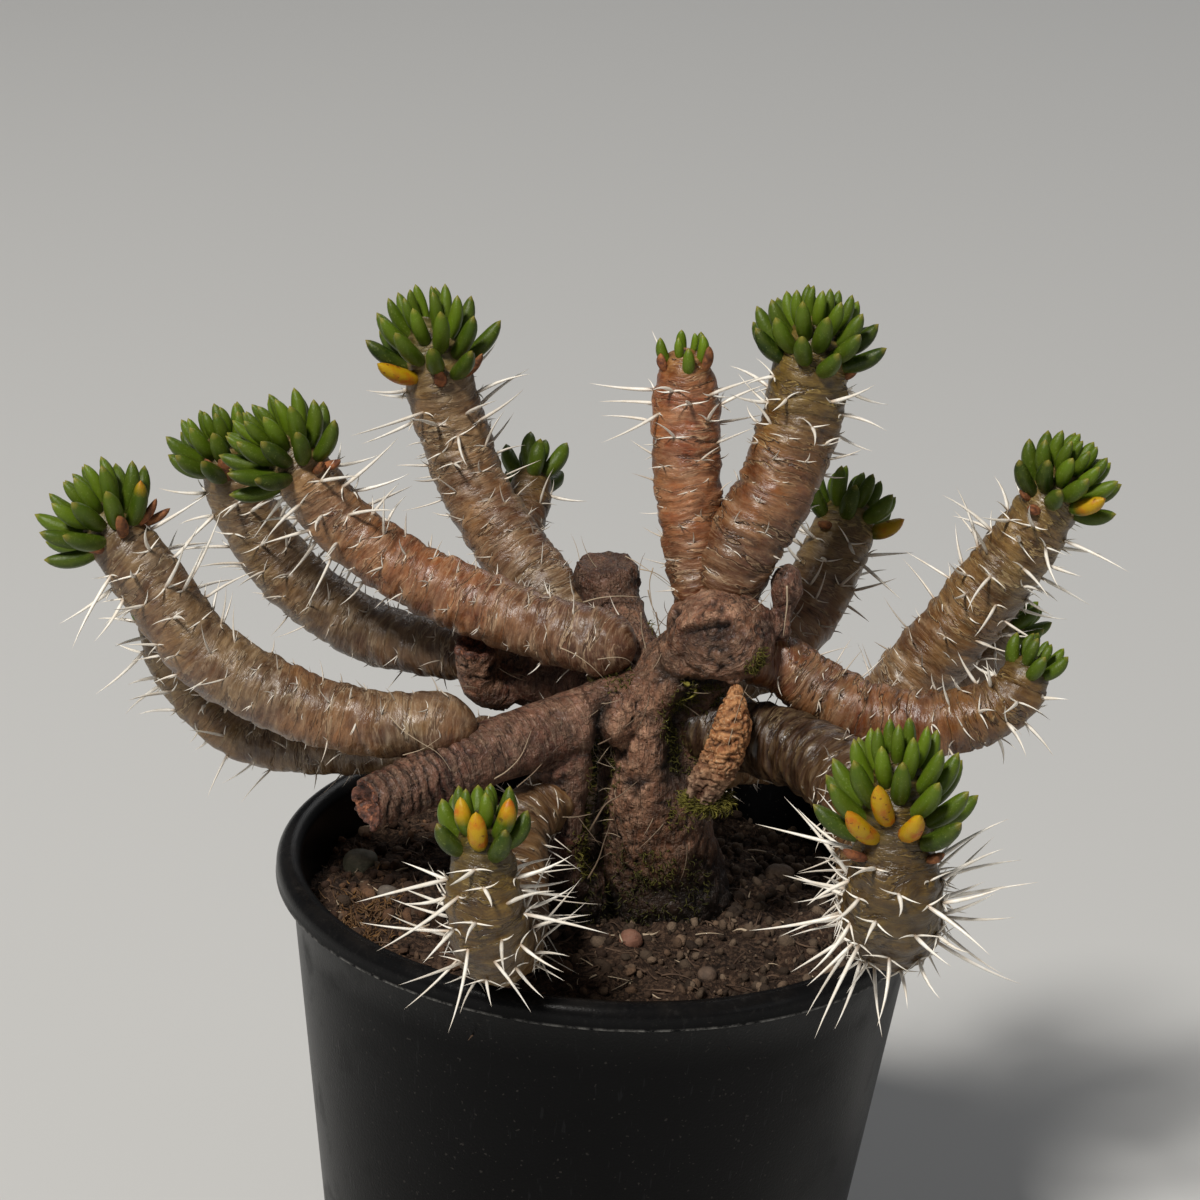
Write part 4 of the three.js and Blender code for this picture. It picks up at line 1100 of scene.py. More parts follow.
def skin_tones(stem, s, points):
    """The marks that say how warm, green, dark and rubbed the skin is along a stem; the dark old end is
    partly painted shade.
    """
    u = s / stem.line.length
    patchy = noise(points / 9, stem.number + 40)
    bare = stem.leaves < FEW_LEAVES
    pale_end = 0 if bare else 0.6 * smooth(0.62, 0.95, u)
    past = (s - stem.line.length + 0.8 * patchy) / stem.crown
    young = stem.olive * (smooth(0.45, 0.95, u) + 0.3 * patchy)
    # The old end darker: partly its own bark, partly painted shade
    gloom = np.clip(stem.gloom * (1 - smooth(0.1, 0.6, u)) + 0.1 * patchy, 0, 1)
    worn = np.clip(1 - smooth(0.1, 0.5, u + 0.15 * patchy), 0, 1) * min(1, 4 * stem.folds)
    green = 0.6 * stem.olive * smooth(-0.9, 0, past) + smooth(0.1, 0.55, past)
    return {
        "warm": np.clip(stem.warm * (1 - pale_end) + 0.4 * patchy, 0, 1),
        "olive": np.clip(young + 0.4 * smooth(0.95, 1.06, u), 0, 1),
        "gloom": gloom, "worn": worn * (1 - 0.6 * gloom), "shade": np.full(len(s), stem.shade),
        "leafy": np.clip(green, 0, 1 - 0.8 * bare),
    }


def skin_piece(title, stem, rows, sunk, material, slot, replaces=()):
    """The skin between two places along a stem; sunk is how far each row is drawn in."""
    s, angle = around(rows, SKIN_SIDES)
    reach, marks = skin_reach(stem, s, angle)
    reach = np.maximum(reach - np.repeat(sunk, SKIN_SIDES), LEAST_REACH)
    if stem.round_base:
        inward = np.clip(1 - s / (stem.line.radius(0) * BASE_CAP * stem.round_base), 0, 1)
        reach = reach * np.sqrt(np.clip(1 - inward**2, 0.001, 1))
    points = tube(stem.line, s, angle, reach)
    marks |= skin_tones(stem, s, points)
    marks = {key: np.concatenate([values, values[[0, -1]]]) for key, values in marks.items()}
    piece = object_of(title, capped(stem.line, s, points), closed_faces(len(rows), SKIN_SIDES), marks)
    finish(piece, material, slot, replaces)


def stem_pieces(stem, material):
    """The stem's skin, and the same skin's end over the growing tip as a piece of its own."""
    length = stem.line.length
    rows = np.linspace(0, length, int(length / SKIN_STEP) + 1)
    if stem.round_base:
        cap = stem.line.radius(0) * BASE_CAP * stem.round_base
        rows = np.concatenate([cap * (1 - np.cos(np.linspace(0, 1.5, 14))), rows[rows > cap]])
    solid = ["stem_" + stem.name]
    skin_piece("skin_" + stem.name, stem, rows, np.zeros(len(rows)), material, "stem_skin", solid)
    up = np.linspace(0, 1, int(stem.crown / SKIN_STEP))[1:] ** 0.8 * stem.crown
    rows = np.concatenate([[rows[-4] - 0.3, rows[-4] - 0.02], rows[-4:], length + up])
    sunk = np.full(len(rows), -0.02)
    sunk[:2] = 0.9, 0.05
    skin_piece("tip_" + stem.name, stem, rows, sunk, material, "leaf")


def inside_cad_box(point):
    low, high = (np.array(corner) / MM for corner in cad_box)
    slack = (high - low) * BOX_SLACK
    return bool((point > low - slack).all() and (point < high + slack).all())


def spine_places(stem, room):
    """One long spine and two short flat ones from each areole, longer towards the growing tip."""
    places = []
    line = stem.line
    at, angle = areoles(stem)
    root_reach = skin_reach(stem, at, angle)[0]
    for i, (s, turn) in enumerate(zip(at, angle)):
        if s < stem.bald * line.length:
            continue
        axis = line.direction(s)[0]
        out = line.outwards([s], np.array([turn]))[0]
        side = np.cross(axis, out)
        root = line.point(s)[0] + out * (root_reach[i] - SPINE_DEPTH)
        young = float(smooth(0.5, 0.95, s / line.length))
        seed = i + 100 * stem.number
        spread = []
        if draw(seed, 1) < lerp(*LONG_CHANCE, young):
            lean = lerp(0.5, 0.1, young) + 1.1 * (draw(seed, 2) - 0.5)
            sway = lerp(1.6, 0.7, young) * (draw(seed, 3) - 0.5)
            size = lerp(*stem.spines, young) * lerp(0.45, 1.1, draw(seed, 4))
            spread.append((out + axis * lean + side * sway, size, lerp(*LONG_GIRTH, young)))
        for way in (-1, 1):
            if draw(seed, 5 + way) < lerp(*SHORT_CHANCE, young):
                flat = out * (0.2 + 0.35 * draw(seed, 8 + way)) + side * way
                flat = flat + axis * (draw(seed, 10 + way) - 0.3)
                size = lerp(*SHORT_LENGTH, young) * lerp(0.6, 1.2, draw(seed, 13 + way))
                spread.append((flat, size, lerp(*SHORT_GIRTH, young)))
        for n, (direction, size, girth) in enumerate(spread):
            direction = direction / np.linalg.norm(direction)
            for cut in SPINE_CUTS:
                end = root + direction * size * cut
                if inside_cad_box(end) and room.clear(["stem_" + stem.name], root, end, SPINE_GAP):
                    places.append(place_at(
                        root, direction, ANY_ROLL * draw(seed, 20 + n), girth, size * cut,
                        old=(1 - young) * (0.3 + 0.7 * draw(seed, 30)),
                    ))
                    break
    return places


# ---------- tufts

LEAF_FILL = 1.2  # leaves in the scene to each leaf of the solids
LEAF_PROFILE = [(0, 0.5), (0.14, 0.78), (0.42, 1.0), (0.66, 0.94), (0.83, 0.70), (0.93, 0.41),
                (0.975, 0.22), (1, 0.03)]
LEAF_ROOT = 0.8  # how far a leaf starts below its root, mm
LEAF_WIDTH, LEAF_DEPTH = 0.98, 1.06  # shares of its thickness
LEAF_ROOM, LEAF_GAP = 1.6, 1.5  # radius of the room that a leaf takes, and its clearance, mm
DRIED_LENGTHS = (3.6, 6.5)
SPINE_PROFILE = [(0, 0.8), (0.1, 1.0), (0.4, 0.8), (0.75, 0.4), (1, 0.02)]
HAIR_PROFILE = [(0, 1.0), (0.5, 0.8), (1, 0.1)]


def leaf_places(stem, room):
    """The leaves of a tuft, in a spiral from its tip down; those without room are left out."""
    tip, axis = stem.line.end()
    turn = UP.rotation_difference(Vector(axis))
    tip_radius = stem.line.radius(stem.line.length) * TIP_WIDTH
    own = ["stem_" + stem.name, "tuft_" + stem.name]
    places = []
    count = round(stem.leaves * LEAF_FILL)
    young = 0.72 if count > FEW_LEAVES else 1.2
    for i in range(count):
        down = (i + 0.4) / count
        azimuth = i * GOLDEN_ANGLE + stem.number
        lean = lerp(0.06, stem.lean * 0.87, down ** 0.8) + 0.16 * (draw(i, stem.number) - 0.5)
        up = lerp(0.94, 0.12, down ** 0.9)
        out = Vector((math.cos(azimuth), 0, math.sin(azimuth)))
        root = out * float(crown_outline(up)) * tip_radius * 0.85
        root.y = up * stem.crown
        direction = out * math.sin(lean) + UP * math.cos(lean)
        size = lerp(0.62, 1, min(1, down * 2))
        root = np.array(turn @ root) + tip
        direction = np.array((turn @ direction).normalized())
        length = stem.leaf * size * lerp(0.92, 1.05, draw(i, 3))
        thick = LEAF_ROOM * size * min(1, stem.leaf / 7.5)
        end = root + direction * length
        if not room.clear(own, root, end, LEAF_GAP):
            continue
        room.add(own[1], root, end, LEAF_ROOM)
        places.append({
            "root": root, "direction": direction, "length": length * 0.97, "thick": thick * 0.98,
            "turn": bent_turn(direction, np.array(turn @ (UP - out * 0.6))),
            "tint": np.clip(young - 0.72 * down + 0.55 * (draw(i, 5) - 0.4), 0, 1),
        })
    return places


def dried_rows(stem):
    """Shrivelled leaves that hang on under a tuft."""
    tip, axis = stem.line.end()
    for k, end in enumerate(stem.dried):
        away = np.array(end) - tip
        out = away - axis * (away @ axis)
        out /= np.linalg.norm(out)
        root = tip + out * stem.line.radius(stem.line.length) * 0.8 + axis * 0.4
        reach = np.array(end) - root
        length = np.clip(float(np.linalg.norm(reach)), *DRIED_LENGTHS)
        yield {
            "at": root, "turn": bent_turn(reach, axis - out), "grow": (0.8 * MM, 1.2 * MM, length * MM),
            "tint": 0.0, "ripe": 0.0, "dry": 0.8 + 0.2 * draw(k, 4),
        }


def tufts(room, skin):
    """The leaves of every tuft; the leaf nearest to each ripe place turns yellow."""
    tree = form_tree("Plump leaf", LEAF_PROFILE, sides=9, steps=12, bend=0.5, tag="leaf_along")
    for stem in STEMS.values():
        leaves = leaf_places(stem, room)
        middles = np.array([leaf["root"] + leaf["direction"] * leaf["length"] / 2 for leaf in leaves])
        ripe = {}
        for *wanted, share in stem.ripe:
            order = np.argsort(np.linalg.norm(middles - wanted, axis=1))
            ripe[next(int(k) for k in order if int(k) not in ripe)] = share
        rows = [{
            "at": leaf["root"] - leaf["direction"] * LEAF_ROOT, "turn": leaf["turn"],
            "grow": (leaf["thick"] * LEAF_WIDTH * MM, leaf["thick"] * LEAF_DEPTH * MM,
                     (leaf["length"] + LEAF_ROOT) * MM),
            "tint": leaf["tint"], "ripe": ripe.get(k, 0.0), "dry": 0.0,
        } for k, leaf in enumerate(leaves)]
        rows += dried_rows(stem)
        repeated("leaves_" + stem.name, tree, rows, "leaf", ["tuft_" + stem.name], Material=skin)


def skins_and_spines(room, skin, ivory):
    tree = form_tree("Curved spine", SPINE_PROFILE, sides=5, steps=5, bend=1.3, tag="spine_along")
    for stem in STEMS.values():
        stem_pieces(stem, skin)
        repeated("spines_" + stem.name, tree, spine_places(stem, room), "stem_skin", Material=ivory)


# ---------- woody trunk

WOOD_VOXEL = 0.52  # how fine the fused wood is, mm
BUD_THICKNESS = 0.55  # of the room that is kept for the bud
GASH_START, GASH_LENGTH, GASH_HEIGHT, GASH_MIDDLE = 9.5, 9.7, 153.8, 14.6
HOLLOW_HEIGHT, UNDER_KNOB_HEIGHT, STUB_TOP = 134, 143.6, 157.6
PARTING = -2.3  # x of the groove between the column and the side root
PEG_MIDDLE, SWIRL_MIDDLE = (-25.4, 3, 141), (15.5, 156.5)
BROKEN_ENDS = (("left_branch", 5.4), ("dead_peg", 4.6))  # limb and its radius there


def limb_shape(line, s, angle, rows, sides, reach):
    return capped(line, s, tube(line, s, angle, reach)), closed_faces(rows, sides)


def wood_shapes():
    """The trunk's limbs, knobs and buds as closed forms that overlap."""
    sides = 28
    for key, stations in TRUNK_LIMBS.items():
        if key == "bud":
            stations = [(x, y, z, r * BUD_THICKNESS) for x, y, z, r in stations]
        line = Centreline(stations, 80)
        rows = max(8, int(line.length / 1.2))
        s, angle = around(np.linspace(0, line.length, rows), sides)
        reach = line.radius(s)
        if key in ("nub", "bud"):
            cap = line.radius(line.length)
            reach = reach * np.sqrt(1 - np.clip(1 - (line.length - s) / cap, 0, 0.98) ** 2)
        yield limb_shape(line, s, angle, rows, sides, reach)
    rows = 20
    for centre, radii in KNOBS + BUDS:
        yield ball(rows, sides) * radii + centre, closed_faces(rows - 1, sides, downwards=True)


def fused_wood():
    source = object_of("wood", *joined(wood_shapes()))
    fused = source.modifiers.new("fused", "REMESH")
    fused.mode, fused.voxel_size = "VOXEL", WOOD_VOXEL * MM
    eased = source.modifiers.new("eased", "SMOOTH")
    eased.factor, eased.iterations = 0.5, 3
    return evaluated(source, "wood_trunk")


def branch_rings(at):
    """The left branch's rings: where it is, the way along it, and the creases between the rings."""
    left = Centreline(TRUNK_LIMBS["left_branch"], 80)
    reach = np.linalg.norm(at[:, None] - left.point(np.linspace(14, left.length, 24))[None], axis=2)
    ringed = np.clip(1 - (reach.min(1) - 5.6) / 1.5, 0, 1)
    along = at @ left.direction(left.length * 0.6)[0]
    waver = along + 1.5 * noise(at / 4.5, 77) + 0.5 * noise(at / 1.6, 76)
    rings = np.abs(np.sin(waver * math.pi / 2.1))
    crease = np.clip(1.25 - rings * 2.3, 0, 1) * np.clip(1.1 + 0.6 * noise(at / 3, 80), 0, 1)
    crease *= smooth(-21, -30, at[:, 0] + 3 * noise(at / 5, 79))
    return ringed, along, crease


def break_ends(at, depth):
    """Roughens and hollows the broken ends, and says which points lie on them."""
    broken = np.zeros(len(at))
    for limb, size in BROKEN_ENDS:
        line = Centreline(TRUNK_LIMBS[limb], 40)
        end, way = line.end()
        past = (at - end) @ way
        face = (np.linalg.norm(at - end, axis=1) < size + 0.6) & (past > -0.7)
        broken[face] = 1
        away = np.linalg.norm(at[face] - end - past[face, None] * way, axis=1)
        rough = 1.0 * noise(at[face] / 1.3, 75) - 0.2
        depth[face] += rough - 1.8 * smooth(size - 1.2, size - 3.4, away)
    return broken


def knob_gash(x, y, z, flakes, knob):
    """Height over the knob's gash, and how much a point is in it, on its lip or below it."""
    over = x - GASH_START
    line = GASH_HEIGHT + 0.36 * over + 1.1 * np.sin(np.clip(over / GASH_LENGTH, 0, 1) * math.pi)
    height = z - line
    within = np.exp(-(((x - GASH_MIDDLE) / 5) ** 6)) * (y < -8) * knob
    gash = np.exp(-(((height + 0.3 * flakes) / 0.45) ** 2)) * within
    lip = np.exp(-(((height - 1.3) / 0.7) ** 2)) * within
    below = smooth(0.2, -0.9, height) * smooth(-9, -3, height) * within
    return height, gash, lip, below


def front_furrows(at, flakes, front):
    """The groove beside the side root, the hollow under the knob and the furrow around its foot."""
    x, _, z = at.T
    parting = np.exp(-(((x - PARTING - 0.8 * noise(at / 6, 78)) / 1.1) ** 2)) * front
    parting *= smooth(104, 110, z) * (1 - smooth(140, 143, z))
    hollow = ((x - GASH_MIDDLE) / 5.2 + 0.2 * flakes) ** 4
    hollow = np.exp(-(hollow + ((z - HOLLOW_HEIGHT) / 11 + 0.1 * flakes) ** 4)) * front
    under_knob = np.exp(-(((z - UNDER_KNOB_HEIGHT - 0.03 * (x - 17) ** 2) / 1.1) ** 2))
    return parting, hollow, under_knob * (np.abs(x - 16) < 10) * front


def trunk_piece(material):
    """The fused limbs, cracked along the grain, with the gash and the hollow at the front."""
    wood = fused_wood()
    at = vectors_of(wood.data.vertices, "co", float) / MM
    out = vectors_of(wood.data.vertex_normals, "vector", np.float32)
    x, y, z = at.T
    grain = noise(at / (1, 1, 1.7) / 2.6 + layered(at / 4, 3)[:, None] * 0.8, 71)
    crack = np.clip(1.1 - np.abs(grain) * 8, 0, 1) * smooth(-0.2, 0.25, noise(at / 5, 70))
    lumps, flakes = layered(at / 5.5, 72), layered(at / 1.7, 73, 2)
    ringed, along, crease = branch_rings(at)
    depth = 0.45 * lumps + 0.32 * flakes * (1 - ringed) - 0.5 * crack * (1 - ringed)
    depth = depth - 0.75 * crease * ringed
    broken = break_ends(at, depth)
    knob = np.linalg.norm((at - KNOBS[0][0]) / KNOBS[0][1], axis=1) < 1.15
    stub = np.linalg.norm(at - KNOBS[1][0], axis=1) < 9
    front = smooth(-6, -10, y)
    over_gash, gash, gash_lip, below = knob_gash(x, y, z, flakes, knob)
    parting, hollow, under_knob = front_furrows(at, flakes, front)
    depth += 0.5 * flakes * (stub | knob) + 0.7 * lumps * smooth(122, 100, z)
    depth -= 1.6 * gash - 0.7 * gash_lip + 1.3 * below + 2.6 * parting + 3.6 * hollow + 1.2 * under_knob
    shaped = at + out * depth[:, None]
    top = STUB_TOP + 0.9 * flakes[stub] + 0.12 * (x[stub] + 3.4)
    shaped[stub, 2] = np.minimum(shaped[stub, 2], top)
    wood.data.vertices.foreach_set("co", (shaped * MM).astype(np.float32).ravel())

    # Painted shade in the hollow, the groove, under the knob and below its gash; the stub a little
    # darker, and the foot darker towards the soil
    damp = 1 - smooth(99, 114, z + 4 * lumps) + hollow + parting
    damp = damp + 0.8 * under_knob + 0.3 * stub + 0.45 * below
    fibre = at * (1, 1, 0.15)
    fibre[ringed > 0.4] = np.stack([along, 0.14 * y, 0.14 * z], axis=1)[ringed > 0.4]
    swirl = np.hypot(x - SWIRL_MIDDLE[0], z - SWIRL_MIDDLE[1])
    fibre[knob] = np.stack([swirl, 0.6 * y, 0.15 * x], axis=1)[knob]
    peg = np.linalg.norm(at - PEG_MIDDLE, axis=1) < 7
    front_face = np.exp(-(((x - 2.6) / 4.6) ** 4 + ((z - 131) / 13) ** 4)) * front
    # Pale wear on the column's front, the gash's lip and the knob's top; painted light on the peg,
    # which lies in shade, and a painted highlight along the branch's upward faces
    worn = 0.95 * front_face + 0.8 * peg + 0.9 * gash_lip
    worn += 0.6 * knob * smooth(-0.5, 1.5, over_gash) * (y < -2)
    worn += 0.4 * smooth(0.3, 0.9, out[:, 2]) * ringed * smooth(-24, -12, x) + 0.35 * lumps
    ruddy = 1 - smooth(-4, 3, x) + smooth(23, 25, x) + 0.4 * lumps
    # Painted shade in the cracks, the branch's ring creases and the knob's gash, none on the broken
    # ends
    dark = np.clip(crack * (1 - ringed) + crease * ringed + gash, 0, 1) * (1 - broken)
    for key, values in {
        "crack": dark, "fibre_place": fibre * MM, "worn": np.clip(worn, 0, 1), "broken": broken,
        "damp": np.clip(damp, 0, 1), "ruddy": np.clip(ruddy, 0, 1),
    }.items():
        mark(wood.data, key, values)
    finish(wood, material, "bark", ["woody_trunk"])
    return shaped, out


def dried_piece(material):
    """A dead shoot: ragged scales stacked across it, narrow above and split below."""
    line = Centreline(DRIED_BRANCHLET, 80)
    sides, rows = 80, 120
    s, angle = around(np.linspace(0, line.length, rows), sides)
    place = tube(line, s, angle, line.radius(s))
    ring = np.stack([np.cos(angle), np.sin(angle)], axis=1)
    travel = s + 2.4 * noise(place / 3, 82) + 0.7 * noise(place / 1.2, 85)
    scales = (travel / 1.8) % 1
    swell = np.sin(np.clip(scales * 1.15, 0, 1) * math.pi) ** 0.7
    uneven = 0.5 + 0.5 * noise(np.hstack([travel[:, None] / 2.5, ring * 1.3]), 83)
    split = np.clip(1 - np.abs(noise(np.hstack([s[:, None] / 9, ring * 2.2]), 84)) * 5, 0, 1)
    split *= smooth(line.length * 0.55, line.length, s)
    across, upright = noise(place / (2.6, 2.6, 0.9), 87), noise(place / (1.2, 1.2, 3), 88)
    gap = np.clip(1 - np.minimum(np.abs(across), np.abs(upright) * 1.6) * 6, 0, 1)
    flare = 1 + 0.2 * smooth(line.length * 0.6, line.length, s)
    reach = line.radius(s) * 0.92 * flare + 0.7 * uneven * (swell - 0.5)
    reach = reach + 0.5 * layered(place / 1.7, 81) - 0.5 * gap
    ends = np.clip(np.minimum(s / 7 + 0.12, (line.length - s) / 0.8 + 0.5), 0.02, 1)
    points = tube(line, s, angle, (reach - 1.4 * split) * np.sqrt(ends))
    points[:, 0] -= 1.6 * smooth(line.length * 0.5, line.length, s)
    low = s > line.length - 0.1
    points[low] += line.end()[1] * (0.8 * noise(points[low] / 1.2, 86))[:, None]
    # Painted shade in the folds between the scales, in the gaps and in the splits
    fold = np.clip(1 - swell * 1.7, 0, 1) * uneven + 0.6 * gap + split
    faded = smooth(line.length * 0.45, line.length * 0.95, s)
    marks = {"fold": np.append(fold, [0, 1]).clip(0, 1), "faded": np.append(faded, [0, 1])}
    piece = object_of("dried_shoot", capped(line, s, points), closed_faces(rows, sides), marks)
    finish(piece, material, "dried_wood", ["dried_branchlet"])


def moss_and_rootlets(wood, moss, roots):
    """Moss shoots and thin dry roots that stand on the wood's surface."""
    at, out = wood
    random = np.random.default_rng(3)
    tree = form_tree("Thread", HAIR_PROFILE, sides=4, steps=5, bend=5, tag="thread_along")

    def on_wood(centre, reach, count):
        near = np.flatnonzero(np.linalg.norm(at - centre, axis=1) < reach)
        return random.choice(near, min(count, len(near)), replace=False)

    rows = []
    for *spot, fresh in MOSS_SPOTS:
        for i in on_wood(*spot):
            lean = out[i] + 0.9 * random.normal(size=3)
            size = 0.6 + 1.1 * random.random()
            tone = float(np.clip(fresh * (0.4 + random.random()), 0, 1))
            rows.append(place_at(at[i], lean, random.random() * ANY_ROLL, 0.12, size, pale=tone))
    count, spread, shift = FOOT_MOSS
    for _ in range(count):
        way = random.normal(size=3)
        way /= np.linalg.norm(way)
        foot = np.array(DRIED_BRANCHLET[-1][:3]) + way * spread + shift
        lean = way * (1, 1, 0.7) + 0.5 * random.normal(size=3)
        size = 0.8 + 1.3 * random.random()
        rows.append(place_at(foot, lean, 0, 0.13, size, pale=0.25 + 0.75 * random.random()))
    for root, way, size in SEEDLING_LEAVES:
        rows.append(place_at(root, way, 0, 0.55, size, pale=0.9))
    repeated("moss", tree, rows, "bark", Material=moss)
    rows = []
    for spot in HAIR_SPOTS:
        for i in on_wood(*spot):
            lean = 0.5 * out[i] + 0.8 * random.normal(size=3)
            if lean @ out[i] < 0.15:
                lean += out[i] * (0.3 - lean @ out[i])
            size, roll = 2.5 + 5 * random.random(), random.random() * ANY_ROLL
            rows.append(place_at(at[i], lean, roll, 0.08, size, pale=random.random()))
    repeated("rootlets", tree, rows, "bark", Material=roots)


def thin_roots(material):
    rows, sides = 18, 6
    shapes, pale = [], []
    for stations, thickness, paleness in THIN_ROOTS:
        line = Centreline([(*place, thickness) for place in stations], 40)
        s, angle = around(np.linspace(0, line.length, rows), sides)
        taper = line.radius(s) * 0.75 * (1 - 0.7 * s / line.length)
        shapes.append(limb_shape(line, s, angle, rows, sides, taper))
        pale.extend([paleness] * len(shapes[-1][0]))
    finish(object_of("thin_roots", *joined(shapes), {"pale": pale}), material, "bark")


# ---------- pot, soil and what lies on it

POT_SIDES, SOIL_RINGS, SOIL_SIDES = 160, 120, 260
UNDERSIDE = [(0, 0), (38, 0), (40, 0.8), (43, 0.8), (43.6, 0)]  # of the pot, with its groove
WOOD_FEET = (((10.8, 3), 11.5), ((-4.8, -7), 4.6))  # column and side root at the soil, with radii
LITTER_EDGE = 54.0  # radius of the soil that grit and fibres lie on
FINE_GRIT, LARGE_GRIT, FIBRES = (2700, 5), (130, 21), (620, 8)  # how many, and the seed
RIM_EDGE = 0.05  # how far the rim's rolled top lies inside its widest line


def drain_drills():
    """Upright plugs where the drain holes go."""
    sides = 24
    turn = np.arange(sides) / sides * TURN
    faces = [*grid_faces(2, sides), range(sides - 1, -1, -1), range(sides, 2 * sides)]
    for i in range(DRAIN_HOLES):
        middle = (i + 0.5) / DRAIN_HOLES * TURN
        x = DRAIN_CIRCLE * math.cos(middle) + DRAIN_RADIUS * np.cos(turn)
        y = DRAIN_CIRCLE * math.sin(middle) + DRAIN_RADIUS * np.sin(turn)
        yield [(*place, z) for z in (-FLOOR, 2 * FLOOR) for place in zip(x, y)], faces


def pot_outline():
    """Radius and height of the lathed pot, from the middle of its underside out, up and in again."""
    def wall(start, end, count):
        return [tuple(lerp(a, b, t) for a, b in zip(start, end)) for t in np.linspace(0, 1, count)]

    under_rim = POT_HEIGHT - RIM_DEPTH
    rows = UNDERSIDE + [(FOOT_RADIUS - 0.6, 0), (FOOT_RADIUS, 0.6)]
    rows += wall((FOOT_RADIUS, 1.6), (WALL_TOP, under_rim - 0.2), 12)
    rows += [(WALL_TOP + 0.3, under_rim), (RIM_RADIUS - 0.5, under_rim), (RIM_RADIUS, under_rim + 0.35),
             (RIM_RADIUS - RIM_EDGE, under_rim + 0.8)]
    for t in np.linspace(0, math.pi, 15):
        across = RIM_WIDTH / 2 * (1 - math.cos(t))
        rows.append((RIM_RADIUS - RIM_EDGE - across, POT_HEIGHT - RIM_RISE + RIM_RISE * math.sin(t)))
    inside = (RIM_RADIUS - RIM_WIDTH - 0.2, POT_HEIGHT - RIM_RISE - 0.6)
    return rows + wall(inside, (FOOT_RADIUS - WALL, FLOOR), 10) + [(0, FLOOR)]


def pot_piece(material):
    """The pot with a rolled rim, a foot and drain holes, a little out of round."""
    points, rim, edge = [], [], []
    outline = pot_outline()[1:-1]
    for r, z in outline:
        for j in range(POT_SIDES):
            angle = j / POT_SIDES * TURN
            sag = 1 + 0.0012 * math.sin(3 * angle + 0.7) * z / POT_HEIGHT
            points.append((r * sag * math.cos(angle), r * sag * math.sin(angle), z))
            rim.append(float(r > RIM_RADIUS - 2.5 and z > POT_HEIGHT - 3.4))
            edge.append(float(r == RIM_RADIUS))
    points += [(0, 0, 0), (0, 0, FLOOR)]
    marks = {"rim": rim + [0, 0], "edge": edge + [0, 0]}
    shell = object_of("shell", points, closed_faces(len(outline), POT_SIDES), marks)
    drills = object_of("drills", *joined(drain_drills()))
    cut = shell.modifiers.new("drain holes", "BOOLEAN")
    cut.operation, cut.solver, cut.object = "DIFFERENCE", "EXACT", drills
    piece = evaluated(shell, "pot_shell")
    bpy.data.objects.remove(drills)
    finish(piece, material, "pot", ["pot"])
    piece.data.set_sharp_from_angle(angle=math.radians(50))


def soil_height(x, y):
    away = np.hypot(x, y) / WALL_TOP
    level = SOIL_EDGE + SOIL_MOUND * (1 - away * away)
    return level + 0.9 * np.sin(x * 0.34) * np.cos(y * 0.29) + 0.5 * np.sin(x * 0.71) * np.cos(y * 0.63)


def soil_piece(material):
    """The soil's body: a rough top, and below it one ring at its underside."""
    r, angle = around(np.linspace(SOIL_RIM, 0.3, SOIL_RINGS), SOIL_SIDES)
    x, y = r * np.cos(angle), r * np.sin(angle)
    flat = np.stack([x, y, np.zeros_like(x)], axis=1)
    rough = 0.55 * layered(flat / 3.1, 91) + 0.3 * noise(flat / 0.8, 92)
    z = np.where(r > SOIL_RIM - 0.4, SOIL_EDGE - 1, soil_height(x, y) + rough)
    foot, low = SOIL_FOOT
    turn = np.linspace(0, TURN, SOIL_SIDES, endpoint=False)
    wall = np.stack([foot * np.cos(turn), foot * np.sin(turn), np.full(SOIL_SIDES, low)], axis=1)
    middles = [(0, 0, low), (0, 0, soil_height(0.0, 0.0))]
    points = np.vstack([wall, np.stack([x, y, z], axis=1), middles])
    piece = object_of("soil_bed", points, closed_faces(SOIL_RINGS + 1, SOIL_SIDES))
    finish(piece, material, "soil", ["soil"])


def scattered(count, seed):
    """Even random places on the soil, clear of the wood, and the generator that made them."""
    random = np.random.default_rng(seed)
    r, angle = LITTER_EDGE * np.sqrt(random.random(count)), random.random(count) * TURN
    spots = np.stack([r * np.cos(angle), r * np.sin(angle)], axis=1)
    return random, [(x, y) for x, y in spots if not in_wood(x, y)]


def in_wood(x, y):
    """Whether a place on the soil lies within the column or the side root."""
    return any(math.hypot(x - a, y - b) < radius for (a, b), radius in WOOD_FEET)


def on_soil(x, y, lift):
    return x, y, float(soil_height(x, y)) + lift


def grit_piece(material):
    """Fine grit, and then larger stones."""
    rows = []
    random, spots = scattered(*FINE_GRIT)
    for x, y in spots:
        if any(math.hypot(x - a, y - b) < radii[0] + 0.5 for (a, b), radii, *_ in PEBBLES.values()):
            continue
        size = 0.42 + 1.9 * random.random() ** 2.9
        shape = np.array([1, 0.6 + 0.35 * random.random(), 0.5 + 0.3 * random.random()]) * size
        rows.append({
            "at": on_soil(x, y, size * 0.2), "turn": tuple(random.random(3) * ANY_ROLL),
            "grow": tuple(shape * MM), "tint": random.random() ** 1.9,
            "ruddy": float(np.clip(0.45 - x / 60 + 0.8 * (random.random() - 0.5), 0, 1)),
        })
    random, spots = scattered(*LARGE_GRIT)
    for x, y in spots:
        size = 1.3 + 1.5 * random.random() ** 1.5
        shape = np.array([1, 0.75 + 0.2 * random.random(), 0.6 + 0.2 * random.random()]) * size
        rows.append({
            "at": on_soil(x, y, 0.1 * size), "turn": tuple(random.random(3) * 0.7),
            "grow": tuple(shape * MM), "tint": 0.15 + 0.6 * random.random(),
            "ruddy": float(x < -5) * random.random(),
        })
    repeated("grit", grit_tree(), rows, "soil", Material=material, Uneven=0.3)


